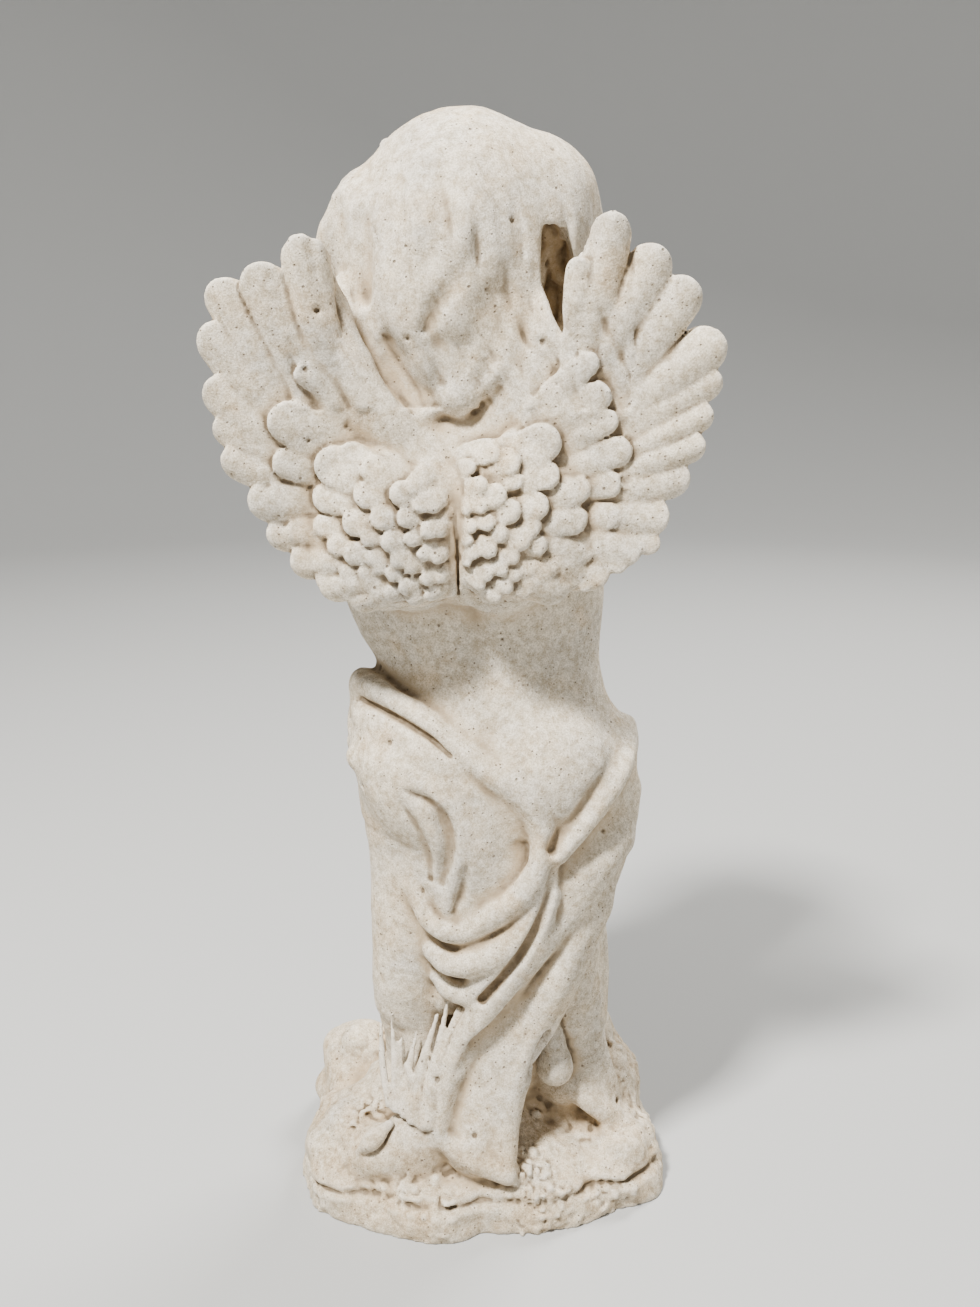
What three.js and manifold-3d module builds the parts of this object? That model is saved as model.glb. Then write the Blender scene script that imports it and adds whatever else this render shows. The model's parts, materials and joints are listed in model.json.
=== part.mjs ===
// A winged putto of cast stone: a plump child with spread wings and a cloth wound round the hips,
// standing on a rough rock. Figure and rock are one casting, so the model is one solid.
// Millimetres, +Z up, the figure faces -Y. The origin is on the flat underside, below the figure.
import * as THREE from "three";
import { mergeVertices } from "three/addons/utils/BufferGeometryUtils.js";
import Module from "manifold-3d";

// Driving sizes.
const FIGURE_HEIGHT = 552; // soles to crown
const HEAD_WIDTH = 142; // over the hair
const WING_SPAN = 241; // tip to tip
const FEATHER_THICKNESS = 9; // of a flight feather
const CLOTH_FOLD = 7; // half the width of a drapery fold
const BASE_WIDTH = 222; // of the rock, side to side
const BASE_DEPTH = 184; // of the rock, front to back
const BASE_HEIGHT = 48; // ground to the soles

// How finely the surface is cut into triangles.
const CELL = 3.4;
const TRIANGLES = 9800;

const { cos, sin, min, max, abs, hypot, floor, ceil, sqrt, PI } = Math;
const lerp = THREE.MathUtils.lerp;
const clamp = THREE.MathUtils.clamp;
const vector = (p) => new THREE.Vector3(...p);

// The figure is drawn 552 mm tall over soles 48 mm up, its head 142 mm wide and its wings 241 mm, and
// each of them is scaled to the sizes above.
const FIGURE_SCALE = FIGURE_HEIGHT / 552;
const HEAD_SCALE = HEAD_WIDTH / 142;
const WING_SCALE = WING_SPAN / 241;

// Shapes. Each is a box (low, high) and a function that gives the signed distance to its surface.

// An ellipsoid about a centre, turned by Euler angles in degrees.
function ball(centre, radii, turn = [0, 0, 0]) {
  const [rx, ry, rz] = typeof radii === "number" ? [radii, radii, radii] : radii;
  const back = new THREE.Matrix4()
    .makeRotationFromEuler(new THREE.Euler(...turn.map((a) => (a * PI) / 180)))
    .invert().elements;
  const reach = turn.some((a) => a) ? [max(rx, ry, rz)] : null;
  const [ex, ey, ez] = reach ? [reach[0], reach[0], reach[0]] : [rx, ry, rz];
  const [cx, cy, cz] = centre;
  return {
    low: [cx - ex, cy - ey, cz - ez],
    high: [cx + ex, cy + ey, cz + ez],
    at(x, y, z) {
      const u = x - cx;
      const v = y - cy;
      const w = z - cz;
      const a = (back[0] * u + back[4] * v + back[8] * w) / rx;
      const b = (back[1] * u + back[5] * v + back[9] * w) / ry;
      const c = (back[2] * u + back[6] * v + back[10] * w) / rz;
      const k = hypot(a, b, c);
      return k < 1e-6 ? -min(rx, ry, rz) : (k * (k - 1)) / hypot(a / rx, b / ry, c / rz);
    },
  };
}

// A tapered tube along a smooth curve through points, flattened to a share of its width along a normal.
function limb(points, radii, { flat = 1, normal = [0, 1, 0], steps = 4 } = {}) {
  const curve = new THREE.CatmullRomCurve3(points.map(vector), false, "centripetal");
  const spans = points.length - 1;
  const count = spans * steps;
  const knots = [];
  for (let i = 0; i <= count; i++) {
    const t = (i / count) * spans;
    const span = min(floor(t), spans - 1);
    const p = curve.getPoint(i / count);
    const ease = t - span;
    knots.push([p.x, p.y, p.z, lerp(radii[span], radii[span + 1], ease * ease * (3 - 2 * ease))]);
  }
  const [nx, ny, nz] = vector(normal).normalize().toArray();
  const press = 1 / flat - 1;
  const edge = (pick, sign) =>
    [0, 1, 2].map((axis) => pick(...knots.map((k) => k[axis] + sign * k[3])));
  return {
    low: edge(min, -1),
    high: edge(max, 1),
    at(x, y, z) {
      let best = Infinity;
      for (let i = 0; i < count; i++) {
        const a = knots[i];
        const b = knots[i + 1];
        const dx = b[0] - a[0];
        const dy = b[1] - a[1];
        const dz = b[2] - a[2];
        const along = (x - a[0]) * dx + (y - a[1]) * dy + (z - a[2]) * dz;
        const t = clamp(along / (dx * dx + dy * dy + dz * dz), 0, 1);
        let u = x - a[0] - dx * t;
        let v = y - a[1] - dy * t;
        let w = z - a[2] - dz * t;
        const off = (u * nx + v * ny + w * nz) * press;
        u += off * nx;
        v += off * ny;
        w += off * nz;
        best = min(best, sqrt(u * u + v * v + w * w) - lerp(a[3], b[3], t));
      }
      return best * flat;
    },
  };
}

// The rows of a table [z, values...] joined by a smooth curve, at a height z.
function profile(rows, z) {
  let i = 0;
  while (i < rows.length - 2 && z > rows[i + 1][0]) i++;
  const [a, b] = [rows[i], rows[i + 1]];
  const [before, after] = [rows[max(i - 1, 0)], rows[min(i + 2, rows.length - 1)]];
  const step = b[0] - a[0];
  const t = clamp((z - a[0]) / step, 0, 1);
  return a.map((value, k) => {
    const leave = ((b[k] - before[k]) / (b[0] - before[0])) * step;
    const arrive = ((after[k] - value) / (after[0] - a[0])) * step;
    const turn = t * (1 - t) * ((1 - t) * leave - t * arrive);
    return lerp(value, b[k], t * t * (3 - 2 * t)) + turn;
  });
}

// An upright mass whose outline at each height is given by rows of
// [height, furthest +X, furthest -X, furthest +Y, furthest -Y].
function stack(rows, power = 2.3) {
  const bottom = rows[0][0];
  const top = rows.at(-1)[0];
  const all = (k) => rows.map((r) => r[k]);
  return {
    low: [min(...all(2)), min(...all(4)), bottom],
    high: [max(...all(1)), max(...all(3)), top],
    at(x, y, z) {
      const [, right, left, rear, front] = profile(rows, z);
      const u = abs(x - (right + left) / 2) / ((right - left) / 2);
      const v = abs(y - (rear + front) / 2) / ((rear - front) / 2);
      const q = (u ** power + v ** power) ** (1 / power);
      const from = hypot(x - (right + left) / 2, y - (rear + front) / 2);
      const side = q < 1e-6 ? -front : from * (1 - 1 / q);
      return max(side * 0.9, z - top, bottom - z);
    },
  };
}

// A shape carried into another frame.
function placed(shape, frame) {
  const scale = new THREE.Vector3().setFromMatrixScale(frame).x;
  const m = frame.clone().invert().elements;
  const box = new THREE.Box3(vector(shape.low), vector(shape.high)).applyMatrix4(frame);
  return {
    low: box.min.toArray(),
    high: box.max.toArray(),
    at: (x, y, z) =>
      scale *
      shape.at(
        m[0] * x + m[4] * y + m[8] * z + m[12],
        m[1] * x + m[5] * y + m[9] * z + m[13],
        m[2] * x + m[6] * y + m[10] * z + m[14],
      ),
  };
}

// The frame of what is attached to the figure at a joint, at its own scale.
function attached(figure, joint, scale) {
  const at = vector(joint).applyMatrix4(figure);
  return new THREE.Matrix4()
    .makeTranslation(...at.toArray())
    .multiply(new THREE.Matrix4().makeScale(scale, scale, scale))
    .multiply(new THREE.Matrix4().makeTranslation(...joint.map((v) => -v)));
}

// Smooth noise from -1 to 1 on a lattice of unit cells.
function noise(x, y, z) {
  const hash = (i, j, k) => {
    const s = sin(i * 12.9898 + j * 78.233 + k * 37.719) * 43758.5453;
    return (s - floor(s)) * 2 - 1;
  };
  const [i, j, k] = [floor(x), floor(y), floor(z)];
  const fade = (t) => t * t * (3 - 2 * t);
  const [u, v, w] = [fade(x - i), fade(y - j), fade(z - k)];
  const row = (b, c) => lerp(hash(i, b, c), hash(i + 1, b, c), u);
  const sheet = (c) => lerp(row(j, c), row(j + 1, c), v);
  return lerp(sheet(k), sheet(k + 1), w);
}

// Clay: a grid of signed distances that shapes are added to, carved from and pressed into.
class Clay {
  constructor(low, high, cell) {
    this.cell = cell;
    this.low = low.map((v) => (floor(v / cell) - 1.5) * cell);
    this.size = low.map((v, i) => ceil((high[i] - v) / cell) + 4);
    this.frame = new THREE.Matrix4();
    this.field = new Float32Array(this.size.reduce((a, b) => a * b)).fill(1e3);
  }

  // Calls join(index, distance, x, y, z) for each grid point in a shape's box.
  visit(shape, margin, join) {
    const { low, high, at } = placed(shape, this.frame);
    const [nx, ny] = this.size;
    const range = [0, 1, 2].map((i) => [
      max(0, floor((low[i] - margin - this.low[i]) / this.cell)),
      min(this.size[i] - 1, ceil((high[i] + margin - this.low[i]) / this.cell)),
    ]);
    for (let k = range[2][0]; k <= range[2][1]; k++) {
      const z = this.low[2] + k * this.cell;
      for (let j = range[1][0]; j <= range[1][1]; j++) {
        const y = this.low[1] + j * this.cell;
        for (let i = range[0][0]; i <= range[0][1]; i++) {
          const x = this.low[0] + i * this.cell;
          join((k * ny + j) * nx + i, at(x, y, z), x, y, z);
        }
      }
    }
  }

  add(shape, blend = 4) {
    const margin = max(blend, this.cell) + this.cell;
    this.visit(shape, margin, (n, d) => (this.field[n] = smoothMin(this.field[n], d, blend)));
  }

  carve(shape, blend = 2) {
    this.visit(shape, blend + this.cell, (n, d) => {
      this.field[n] = -smoothMin(-this.field[n], d, blend);
    });
  }

  // Cuts everything off flat below a height.
  cutBelow(height) {
    const [nx, ny] = this.size;
    this.field.forEach((d, n) => {
      const z = this.low[2] + floor(n / (nx * ny)) * this.cell;
      this.field[n] = max(d, height - z);
    });
  }

  // Moves the surface out by height(x, y, z) inside a box.
  raise(low, high, height) {
    this.visit({ low, high, at: height }, 0, (n, h) => {
      if (this.field[n] < 100) this.field[n] -= h;
    });
  }
}

function smoothMin(a, b, blend) {
  const h = max(blend - abs(a - b), 0);
  return min(a, b) - (h * h) / (4 * blend);
}

// The rock: low boulders that the figure stands on, rough on top and split in layers round the rim.
// It is drawn 1 unit wide, deep and high, and fitted to the base's sizes.
function rock(clay) {
  const [w, d, h] = [BASE_WIDTH / 222, BASE_DEPTH / 184, BASE_HEIGHT / 48];
  const boulders = [
    [0, -4, 4, 94, 76, 38],
    [82, -34, 20, 26, 30, 46],
    [78, 22, 10, 30, 42, 40],
    [52, 12, 26, 30, 30, 42],
    [30, 48, 2, 56, 36, 32],
    [-26, 44, 4, 52, 34, 34],
    [-78, 24, 6, 30, 36, 34],
    [-82, -16, 18, 20, 34, 42],
    [-66, -44, 26, 24, 26, 46],
    [10, -56, 10, 74, 30, 32],
    [-56, -6, 20, 32, 38, 34],
    [2, 4, 20, 60, 44, 36],
  ];
  for (const [x, y, z, rx, ry, rz] of boulders)
    clay.add(ball([x * w, y * d, z * h], [rx * w, ry * d, rz * h]), 12);
  const [x, y, z] = [BASE_WIDTH * 0.6, BASE_DEPTH * 0.62, BASE_HEIGHT * 1.8];
  clay.raise([-x, -y, -8], [x, y, z], (px, py, pz) => {
    const lumps = 4 * noise(px / 21, py / 21, pz / 17) + 1.2 * noise(px / 10, py / 10, pz / 10);
    const layer = pz / h + 5 * noise(px / 40, py / 40, 3);
    const split = max(0, 1 - abs(layer - 15) / 3.5) * 3;
    return (lumps - split) * clamp((z - pz) / 20, 0, 1);
  });
}

// Legs and feet, bare from the calf down.
function legs(clay) {
  // What shows of the ground between the legs.
  clay.add(ball([0, 2, 78], [42, 30, 58]), 8);
  const sides = [
    { hip: [34, 10, 262], knee: [38, 14, 190], calf: [42, 20, 132], ankle: [46, 12, 80], toe: 1 },
    { hip: [-36, 6, 262], knee: [-38, 4, 190], calf: [-48, 9, 116], ankle: [-49, 12, 78], toe: -1 },
  ];
  for (const { hip, knee, calf, ankle, toe } of sides) {
    clay.add(limb([hip, knee, calf, ankle], [36, 27, 23, 13]), 8);
    const [x, y] = ankle;
    clay.add(ball([x, y + 4, 62], [12.5, 15, 13]), 6);
    clay.add(limb([[x, y, 64], [x + 3 * toe, y - 30, 58], [x + 5 * toe, y - 50, 53]], [12, 12, 11]), 6);
    for (let i = 0; i < 5; i++) {
      const across = x + toe * (5 + (i - 2) * 6.2);
      const big = i === 0 ? 5 : 4.2 - i * 0.25;
      clay.add(ball([across, y - 62 + i * 2.2, 51], [big, big * 1.5, big]), 2);
    }
  }
}

// Trunk, neck, arms and praying hands.
function body(clay) {
  clay.add(
    stack([
      [236, 67, -79, 50, -46],
      [262, 68, -77, 52, -48],
      [285, 66, -73, 48, -50],
      [318, 60, -66, 41, -50],
      [336, 69, -66, 41, -50],
      [356, 76, -67, 43, -48],
      [380, 77, -65, 45, -46],
      [404, 74, -60, 45, -42],
      [424, 60, -46, 41, -36],
      [440, 38, -22, 32, -28],
    ]),
    10,
  );
  clay.add(ball([-2, -26, 318], [50, 36, 42]), 14);
  clay.add(ball([9, 20, 438], [44, 28, 30]), 12);
  clay.add(ball([9, 28, 440], [26, 24, 26]), 10);
  clay.add(ball([-34, 30, 262], [38, 28, 36]), 12);
  clay.add(ball([28, 30, 262], [36, 26, 34]), 12);
  clay.add(limb([[9, 2, 420], [9, 0, 482]], [33, 29]), 10);
  clay.carve(limb([[10, 50, 420], [4, 47, 350], [-4, 54, 292]], [3, 3, 3]), 10);
  clay.carve(ball([0, -64, 306], [4, 6, 3]), 3);
  for (const side of [1, -1]) {
    const shoulder = side > 0 ? 62 : -46;
    const elbow = side > 0 ? 66 : -56;
    const palm = 6 + side * 6.5;
    clay.add(ball([shoulder, -4, 410], [23, 24, 24]), 12);
    clay.add(limb([[shoulder, -6, 410], [elbow, -46, 366]], [21, 18]), 8);
    const forearm = [[elbow, -46, 366], [lerp(elbow, palm, 0.55), -70, 388], [palm, -76, 420]];
    clay.add(limb(forearm, [18, 15, 10.5]), 7);
    clay.add(ball([palm, -78, 430], [6.5, 12, 15]), 4);
    for (let i = 0; i < 4; i++) {
      const y = -86 + i * 5;
      clay.add(limb([[palm, y, 436], [palm - side, y + 1, 462 - abs(i - 1.4) * 3]], [3.6, 3]), 1.5);
    }
    clay.add(limb([[palm + side * 2, -68, 428], [palm + side, -66, 448]], [4.4, 3.4]), 2);
    clay.add(ball([6 + side * 26, -40, 388], [26, 14, 20]), 12);
  }
}

// Cloth wound round the hips, with hanging folds and a long tail behind and a skirt in front.
function drapery(clay) {
  const fold = CLOTH_FOLD / 7 / FIGURE_SCALE;
  // The skirt round the front and sides.
  const skirt = [
    [92, 40, -58, 6, -44],
    [130, 50, -60, 14, -46],
    [170, 58, -70, 26, -50],
    [210, 64, -80, 44, -52],
    [250, 68, -82, 50, -53],
    [276, 60, -78, 40, -52],
  ];
  clay.add(stack(skirt), 8);
  // The wrap over the left hip and the seat, and the cloth that crosses from the right hip.
  clay.add(limb([[58, 8, 292], [42, 28, 268], [14, 34, 236], [-6, 32, 214]], [20, 25, 27, 24]), 10);
  clay.add(limb([[-62, 2, 266], [-56, 8, 220], [-40, 14, 180], [-24, 18, 140]], [26, 30, 32, 28]), 12);
  clay.add(ball([-40, 26, 208], [30, 24, 36]), 10);
  clay.add(ball([8, 22, 208], [35, 35, 42], [0, -14, 0]), 10);
  clay.add(ball([0, 21, 172], [35, 34, 42], [0, -18, 0]), 10);
  // Folds behind, from the left hip to the crossing, and the rims that hang one below the other.
  const folds = [
    [[[66, 15, 309], [50, 35, 307], [32, 45, 298], [14, 50, 283], [-5, 53, 270], [-23, 55, 256]],
     [7, 6, 6, 5, 3, 3]],
    [[[64, 23, 294], [45, 40, 290], [29, 47, 280], [13, 50, 266], [1, 50, 249], [-3, 51, 229]],
     [7, 8, 8, 7, 6, 5]],
    [[[69, 28, 271], [49, 44, 271], [32, 50, 264], [19, 52, 251], [13, 53, 234], [13, 51, 212],
     [18, 50, 192]], [6, 6, 6, 6, 6, 5, 4]],
    [[[38, 41, 198], [31, 49, 184], [21, 53, 178], [10, 53, 178], [-8, 57, 191], [-24, 59, 207],
     [-31, 57, 222], [-31, 54, 236], [-28, 52, 252]], [4, 5, 6, 6, 7, 7, 6, 5, 4]],
    [[[27, 47, 162], [18, 53, 158], [5, 55, 160], [-10, 57, 169], [-25, 57, 184], [-33, 55, 199],
     [-37, 53, 218]], [6, 7, 8, 8, 8, 7, 4]],
    [[[24, 44, 144], [19, 48, 140], [8, 51, 139], [-3, 54, 150], [-17, 56, 164], [-30, 56, 180],
     [-37, 54, 199]], [5, 6, 7, 7, 7, 6, 4]],
    // The roll round the right hip and the swell of cloth below it.
    [[[-82, 0, 280], [-81, 18, 272], [-73, 36, 261], [-63, 46, 250], [-52, 51, 237], [-42, 54, 225]],
     [5, 5.5, 6, 6, 5.5, 5]],
    [[[-84, 10, 245], [-77, 24, 228], [-65, 35, 216], [-51, 43, 207], [-43, 44, 194]],
     [9, 10, 10, 9, 7]],
  ];
  for (const [points, radii] of folds) clay.add(limb(points, radii.map((r) => r * fold)), 6);
  // The tail: a broad band that comes round from the right hip, with a ridge along each side.
  const band = [[-50, 30, 186], [-30, 38, 146], [-12, 42, 108], [0, 48, 76], [4, 60, 48]];
  clay.add(limb(band, [24, 26, 25, 24, 20], { flat: 0.5, normal: [0.1, 1, 0.25] }), 6);
  const tail = [
    [[[-76, 26, 221], [-60, 38, 205], [-44, 44, 184], [-26, 52, 165], [-10, 53, 143], [3, 53, 122],
     [14, 53, 102], [21, 56, 83], [26, 63, 58]], [9, 10, 10, 10, 10, 9, 8, 7, 5]],
    [[[-60, 34, 188], [-50, 43, 166], [-40, 48, 144], [-31, 48, 120], [-22, 50, 99], [-14, 58, 68],
     [-14, 70, 38]], [4, 8, 10, 9, 8, 7, 5]],
    [[[-14, 50, 92], [-4, 57, 68], [6, 65, 50]], [4, 5, 4]],
    [[[24, 64, 52], [4, 70, 42], [-14, 72, 34]], [4, 5, 4]],
  ];
  for (const [points, radii] of tail) clay.add(limb(points, radii.map((r) => r * fold)), 6);
  // The valleys between the folds, and the deep ones where cloth lies over cloth or skin.
  const valleys = [
    [[[66, 24, 303], [45, 43, 298], [28, 50, 290], [17, 53, 281]], [2.5, 3, 3, 1]],
    [[[61, 44, 263], [41, 56, 263], [27, 59, 256], [20, 60, 245], [18, 59, 228], [23, 54, 208]],
     [2, 3, 3, 4, 4, 3]],
    [[[44, 57, 256], [36, 57, 240], [31, 53, 221], [29, 50, 208]], [2, 5, 6, 3]],
    [[[10, 60, 217], [13, 57, 200], [17, 53, 187]], [3, 5, 4]],
    [[[31, 52, 174], [21, 60, 171], [10, 61, 172], [-8, 65, 182], [-23, 66, 195]], [2, 2.5, 3, 2, 1]],
    [[[29, 50, 151], [15, 60, 150], [2, 63, 152], [-12, 65, 161], [-25, 64, 174]], [2, 2.5, 3, 2, 1]],
    [[[-39, 60, 216], [-34, 61, 197], [-27, 62, 180], [-14, 61, 158], [0, 58, 139]],
     [2.5, 3, 3, 3, 3]],
    [[[-28, 60, 152], [-12, 57, 128], [2, 58, 113], [12, 62, 95]], [2, 4, 5, 3]],
    [[[-24, 57, 116], [-14, 61, 94], [-3, 66, 74]], [1, 3, 3]],
    [[[-79, 30, 282], [-71, 43, 272], [-61, 51, 262], [-52, 55, 249], [-44, 57, 238], [-38, 58, 229]],
     [3, 3.5, 3.5, 3.5, 3.5, 3.5]],
    [[[-71, 40, 241], [-58, 49, 228], [-45, 54, 216]], [2, 3, 2]],
  ];
  for (const [points, radii] of valleys) clay.carve(limb(points, radii.map((r) => r * fold)), 3.5);
  // Rolled knots on the left hip.
  clay.add(ball([70, 4, 304], [9, 13, 11], [0, 20, 0]), 4);
  clay.add(limb([[74, 0, 290], [72, 12, 280], [62, 26, 270]], [6, 7, 6]), 4);
  clay.add(ball([75, -2, 270], [7, 12, 8]), 4);
  // Cloth that falls outside the right leg and spreads to a point beside the heel.
  clay.add(limb([[-46, 2, 150], [-48, 4, 100], [-50, 6, 60]], [20, 19, 21]), 8);
  clay.add(limb([[-66, -4, 160], [-68, 0, 130], [-66, 4, 100]], [7, 8, 9]), 5);
  const flare = [[-58, 8, 130], [-62, 14, 92], [-70, 18, 58], [-80, 16, 36]];
  clay.add(limb(flare, [10, 11, 12, 7], { flat: 0.75, normal: [-0.5, 1, 0.2] }), 7);
  const hem = [[-54, 28, 62], [-64, 31, 52], [-74, 30, 45], [-84, 22, 36]];
  clay.add(limb(hem, [4, 5, 5, 4]), 9);
  // The hollow beside the right heel, and the heel.
  clay.carve(limb([[-38, 48, 137], [-34, 50, 115], [-30, 52, 90]], [2, 4, 5]), 4);
  clay.add(limb([[-40, 32, 112], [-41, 33, 92], [-42, 34, 80]], [4, 8, 11]), 2.5);
  // Swags under the belly, and long folds down to the hem.
  const front = [
    [[[66, -14, 300], [36, -46, 286], [-4, -56, 272], [-46, -48, 276], [-72, -16, 278]],
     [6, 7, 7, 7, 6]],
    [[[66, -18, 280], [36, -48, 256], [0, -56, 244], [-44, -50, 256], [-80, -16, 268]],
     [5, 6, 6, 6, 5]],
    [[[66, -20, 262], [40, -48, 226], [8, -56, 204], [-30, -54, 208], [-70, -34, 236]],
     [5, 6, 6, 6, 5]],
    [[[60, -26, 236], [36, -50, 196], [4, -54, 160], [-34, -48, 140]], [5, 6, 6, 5]],
    [[[58, -26, 200], [40, -46, 160], [16, -50, 120], [0, -48, 92]], [5, 6, 6, 6]],
    [[[-78, -22, 220], [-64, -42, 180], [-46, -48, 140], [-36, -48, 92]], [6, 6, 7, 7]],
    [[[-30, -54, 200], [-22, -52, 160], [-18, -48, 120], [-18, -46, 90]], [4, 5, 6, 6]],
    [[[48, -40, 150], [38, -44, 120], [30, -46, 90]], [5, 6, 6]],
  ];
  for (const [points, radii] of front) clay.add(limb(points, radii.map((r) => r * fold)), 5);
}

// Reeds and a broken leaf between the left leg and the tail of the cloth.
function reeds(clay) {
  clay.add(limb([[32, 24, 122], [36, 29, 94], [40, 34, 60]], [14, 15, 18]), 6);
  const stems = [
    [[20, 38, 138], [30, 42, 112], [40, 46, 76], 4.5],
    [[27, 34, 132], [36, 40, 104], [46, 44, 70], 4.5],
    [[13, 42, 136], [22, 46, 108], [33, 52, 72], 4],
    [[44, 34, 110], [47, 40, 88], [51, 44, 64], 4],
    [[53, 28, 100], [54, 36, 84], [57, 42, 64], 3.5],
    [[24, 44, 100], [30, 52, 78], [38, 60, 56], 3.5],
    [[62, 18, 92], [62, 25, 76], [63, 33, 50], 3.5],
  ];
  for (const [head, middle, foot, radius] of stems) {
    const radii = [radius * 0.6, radius, radius * 1.2];
    clay.add(limb([head, middle, foot], radii, { flat: 0.85 }), 2.5);
  }
  clay.carve(limb([[50, 36, 104], [50, 44, 84], [52, 50, 64]], [2, 3, 2.5]), 2);
  clay.carve(limb([[20, 50, 118], [26, 52, 96], [32, 60, 70]], [2, 3, 2.5]), 2);
  clay.add(ball([53, 66, 28], [16, 13, 14]), 8);
  const leaf = [[66, 58, 42], [54, 68, 40], [46, 76, 34]];
  clay.add(limb(leaf, [4, 9, 4], { flat: 0.5, normal: [0.2, 0.5, 1] }), 2);
}

// Each wing as seen from behind. Its feathers are [tip x, tip z, root x, root z, half width], and each
// lies over the next one of its row. The lead is the smooth band along the wing's inner edge, and
// the mound is where the wing stands out furthest.
const WINGS = [
  {
    side: 1,
    flights: [
      [83, 540, 72, 458, 12.5], [105, 527, 78, 458, 12.5], [123, 520, 86, 446, 11.7],
      [130, 500, 86, 438, 12.5], [129, 475, 86, 428, 12.5], [128, 456, 84, 426, 10.2],
      [125, 440, 84, 422, 11.6], [114, 419, 80, 413, 12.5], [106, 401, 74, 400, 11.1],
      [95, 386, 60, 388, 10.9], [81, 373, 50, 380, 10.3], [66, 366, 40, 376, 9.6],
    ],
    coverts: [
      [89, 480, 67, 467, 7.5], [101, 460, 65, 438, 11.9], [101, 437, 65, 429, 9.6],
      [105, 419, 72, 418, 9], [96, 402, 67, 402, 8], [95, 388, 57, 389, 8.4],
      [83, 377, 56, 380, 7], [71, 371, 49, 375, 6.2], [81, 436, 48, 428, 11.6],
      [83, 419, 53, 418, 9], [83, 405, 61, 405, 7.2], [76, 395, 58, 398, 7], [70, 382, 49, 383, 6],
      [69, 442, 44, 426, 8.6], [57, 437, 38, 421, 8], [62, 421, 40, 420, 8], [68, 407, 45, 408, 8],
      [68, 392, 45, 393, 7.4], [60, 376, 42, 379, 6], [44, 424, 27, 415, 7.2],
      [54, 409, 36, 412, 7], [41, 409, 27, 412, 6], [49, 397, 32, 400, 6.8],
      [45, 389, 29, 392, 6.3],
    ],
    lead: [[[20, 40, 412], [31, 46, 433], [46, 52, 455], [60, 55, 478], [71, 55, 502], [77, 53, 522]],
      [14, 14, 14, 12, 9, 5]],
    mound: [40, 398],
  },
  {
    side: -1,
    flights: [
      [-46, 531, -42, 486, 8], [-62, 549, -42, 470, 11.5], [-82, 535, -48, 465, 12.5],
      [-98, 520, -54, 458, 12.5], [-113, 495, -56, 450, 12.5], [-113, 477, -56, 444, 9.9],
      [-110, 461, -56, 434, 9.2], [-107, 446, -54, 426, 9.4], [-101, 430, -52, 418, 11.6],
      [-92, 409, -46, 410, 12.5], [-79, 391, -40, 402, 12.5], [-63, 377, -28, 394, 12.5],
      [-42, 369, -18, 386, 12.5],
    ],
    coverts: [
      [-55, 487, -25, 457, 8], [-62, 471, -24, 448, 9.4], [-65, 458, -25, 438, 8],
      [-72, 443, -23, 427, 8.8], [-68, 425, -38, 424, 8.4], [-68, 409, -39, 410, 8.4],
      [-88, 394, -33, 414, 7.6], [-72, 383, -36, 405, 7.4], [-56, 374, -27, 390, 7],
      [-37, 450, -11, 432, 11.2], [-38, 430, -9, 429, 8.4], [-53, 422, -26, 422, 8.6],
      [-52, 407, -22, 410, 8.6], [-55, 389, -22, 406, 7.4], [-37, 382, -16, 394, 6],
      [-33, 415, -12, 415, 7.8], [-32, 395, -14, 399, 6.4], [-19, 436, -2, 436, 7.2],
      [-24, 397, -7, 406, 7.4], [-12, 422, 6, 416, 6.8], [-19, 413, -2, 412, 7.2],
      [-29, 404, -15, 409, 6.4],
    ],
    lead: [[[7, 38, 420], [-6, 41, 444], [-20, 44, 468], [-31, 47, 492], [-36, 47, 512]],
      [13, 15, 17, 15, 8]],
    mound: [-8, 398],
  },
];

// How far back the wing's face lies: low over the flight feathers, and a mound at the root.
function wingFace({ mound: [middleX, middleZ] }, x, z) {
  const mound = hypot(x - middleX, (z - middleZ) * 0.9) / 46;
  const sweep = hypot(x - 9, z - 400) / 150;
  return 52 + 14 * sweep + 14 * max(0, 1 - mound * mound);
}

// A rounded plate over a wing's face, from its root to its tip, as seen from behind. It rises from
// the root to the tip and towards the side where it overlaps the next feather. The outline gives its
// width at the root, past the middle and at the tip, as shares of the half width.
function feather(wing, row, outline, { rise, crown, tilt, thickness }) {
  const [edgeX, edgeZ, rootX, rootZ, half] = row;
  const reach = hypot(edgeX - rootX, edgeZ - rootZ);
  const end = half * outline[2];
  const wayX = ((edgeX - rootX) / reach) * (reach - end);
  const wayZ = ((edgeZ - rootZ) / reach) * (reach - end);
  const length = reach - end;
  const over = wing.side / length / half;
  const wide = half * max(...outline);
  const levels = [wingFace(wing, edgeX, edgeZ), wingFace(wing, rootX, rootZ)];
  const rounding = min(1.6, half * 0.22);
  return {
    low: [min(edgeX, rootX) - wide, min(...levels) - thickness - 3, min(edgeZ, rootZ) - wide],
    high: [max(edgeX, rootX) + wide, max(...levels) + 8, max(edgeZ, rootZ) + wide],
    at(x, y, z) {
      const u = x - rootX;
      const w = z - rootZ;
      const share = (u * wayX + w * wayZ) / (length * length);
      const t = clamp(share, 0, 1);
      const width = t < 0.6 ? lerp(outline[0], outline[1], t / 0.6)
        : lerp(outline[1], outline[2], (t - 0.6) / 0.4);
      const across = (u * wayZ - w * wayX) * over;
      const top = wingFace(wing, x, z) + rise * clamp(share, 0, 1.2) + tilt * across
        + crown * (1 - across * across);
      const a = hypot(u - wayX * t, w - wayZ * t) - half * width + rounding;
      const b = y - top + rounding;
      const plate = hypot(max(a, 0), max(b, 0)) - rounding + min(max(a, b), 0);
      return max(plate, top - thickness - y);
    },
  };
}

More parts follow.
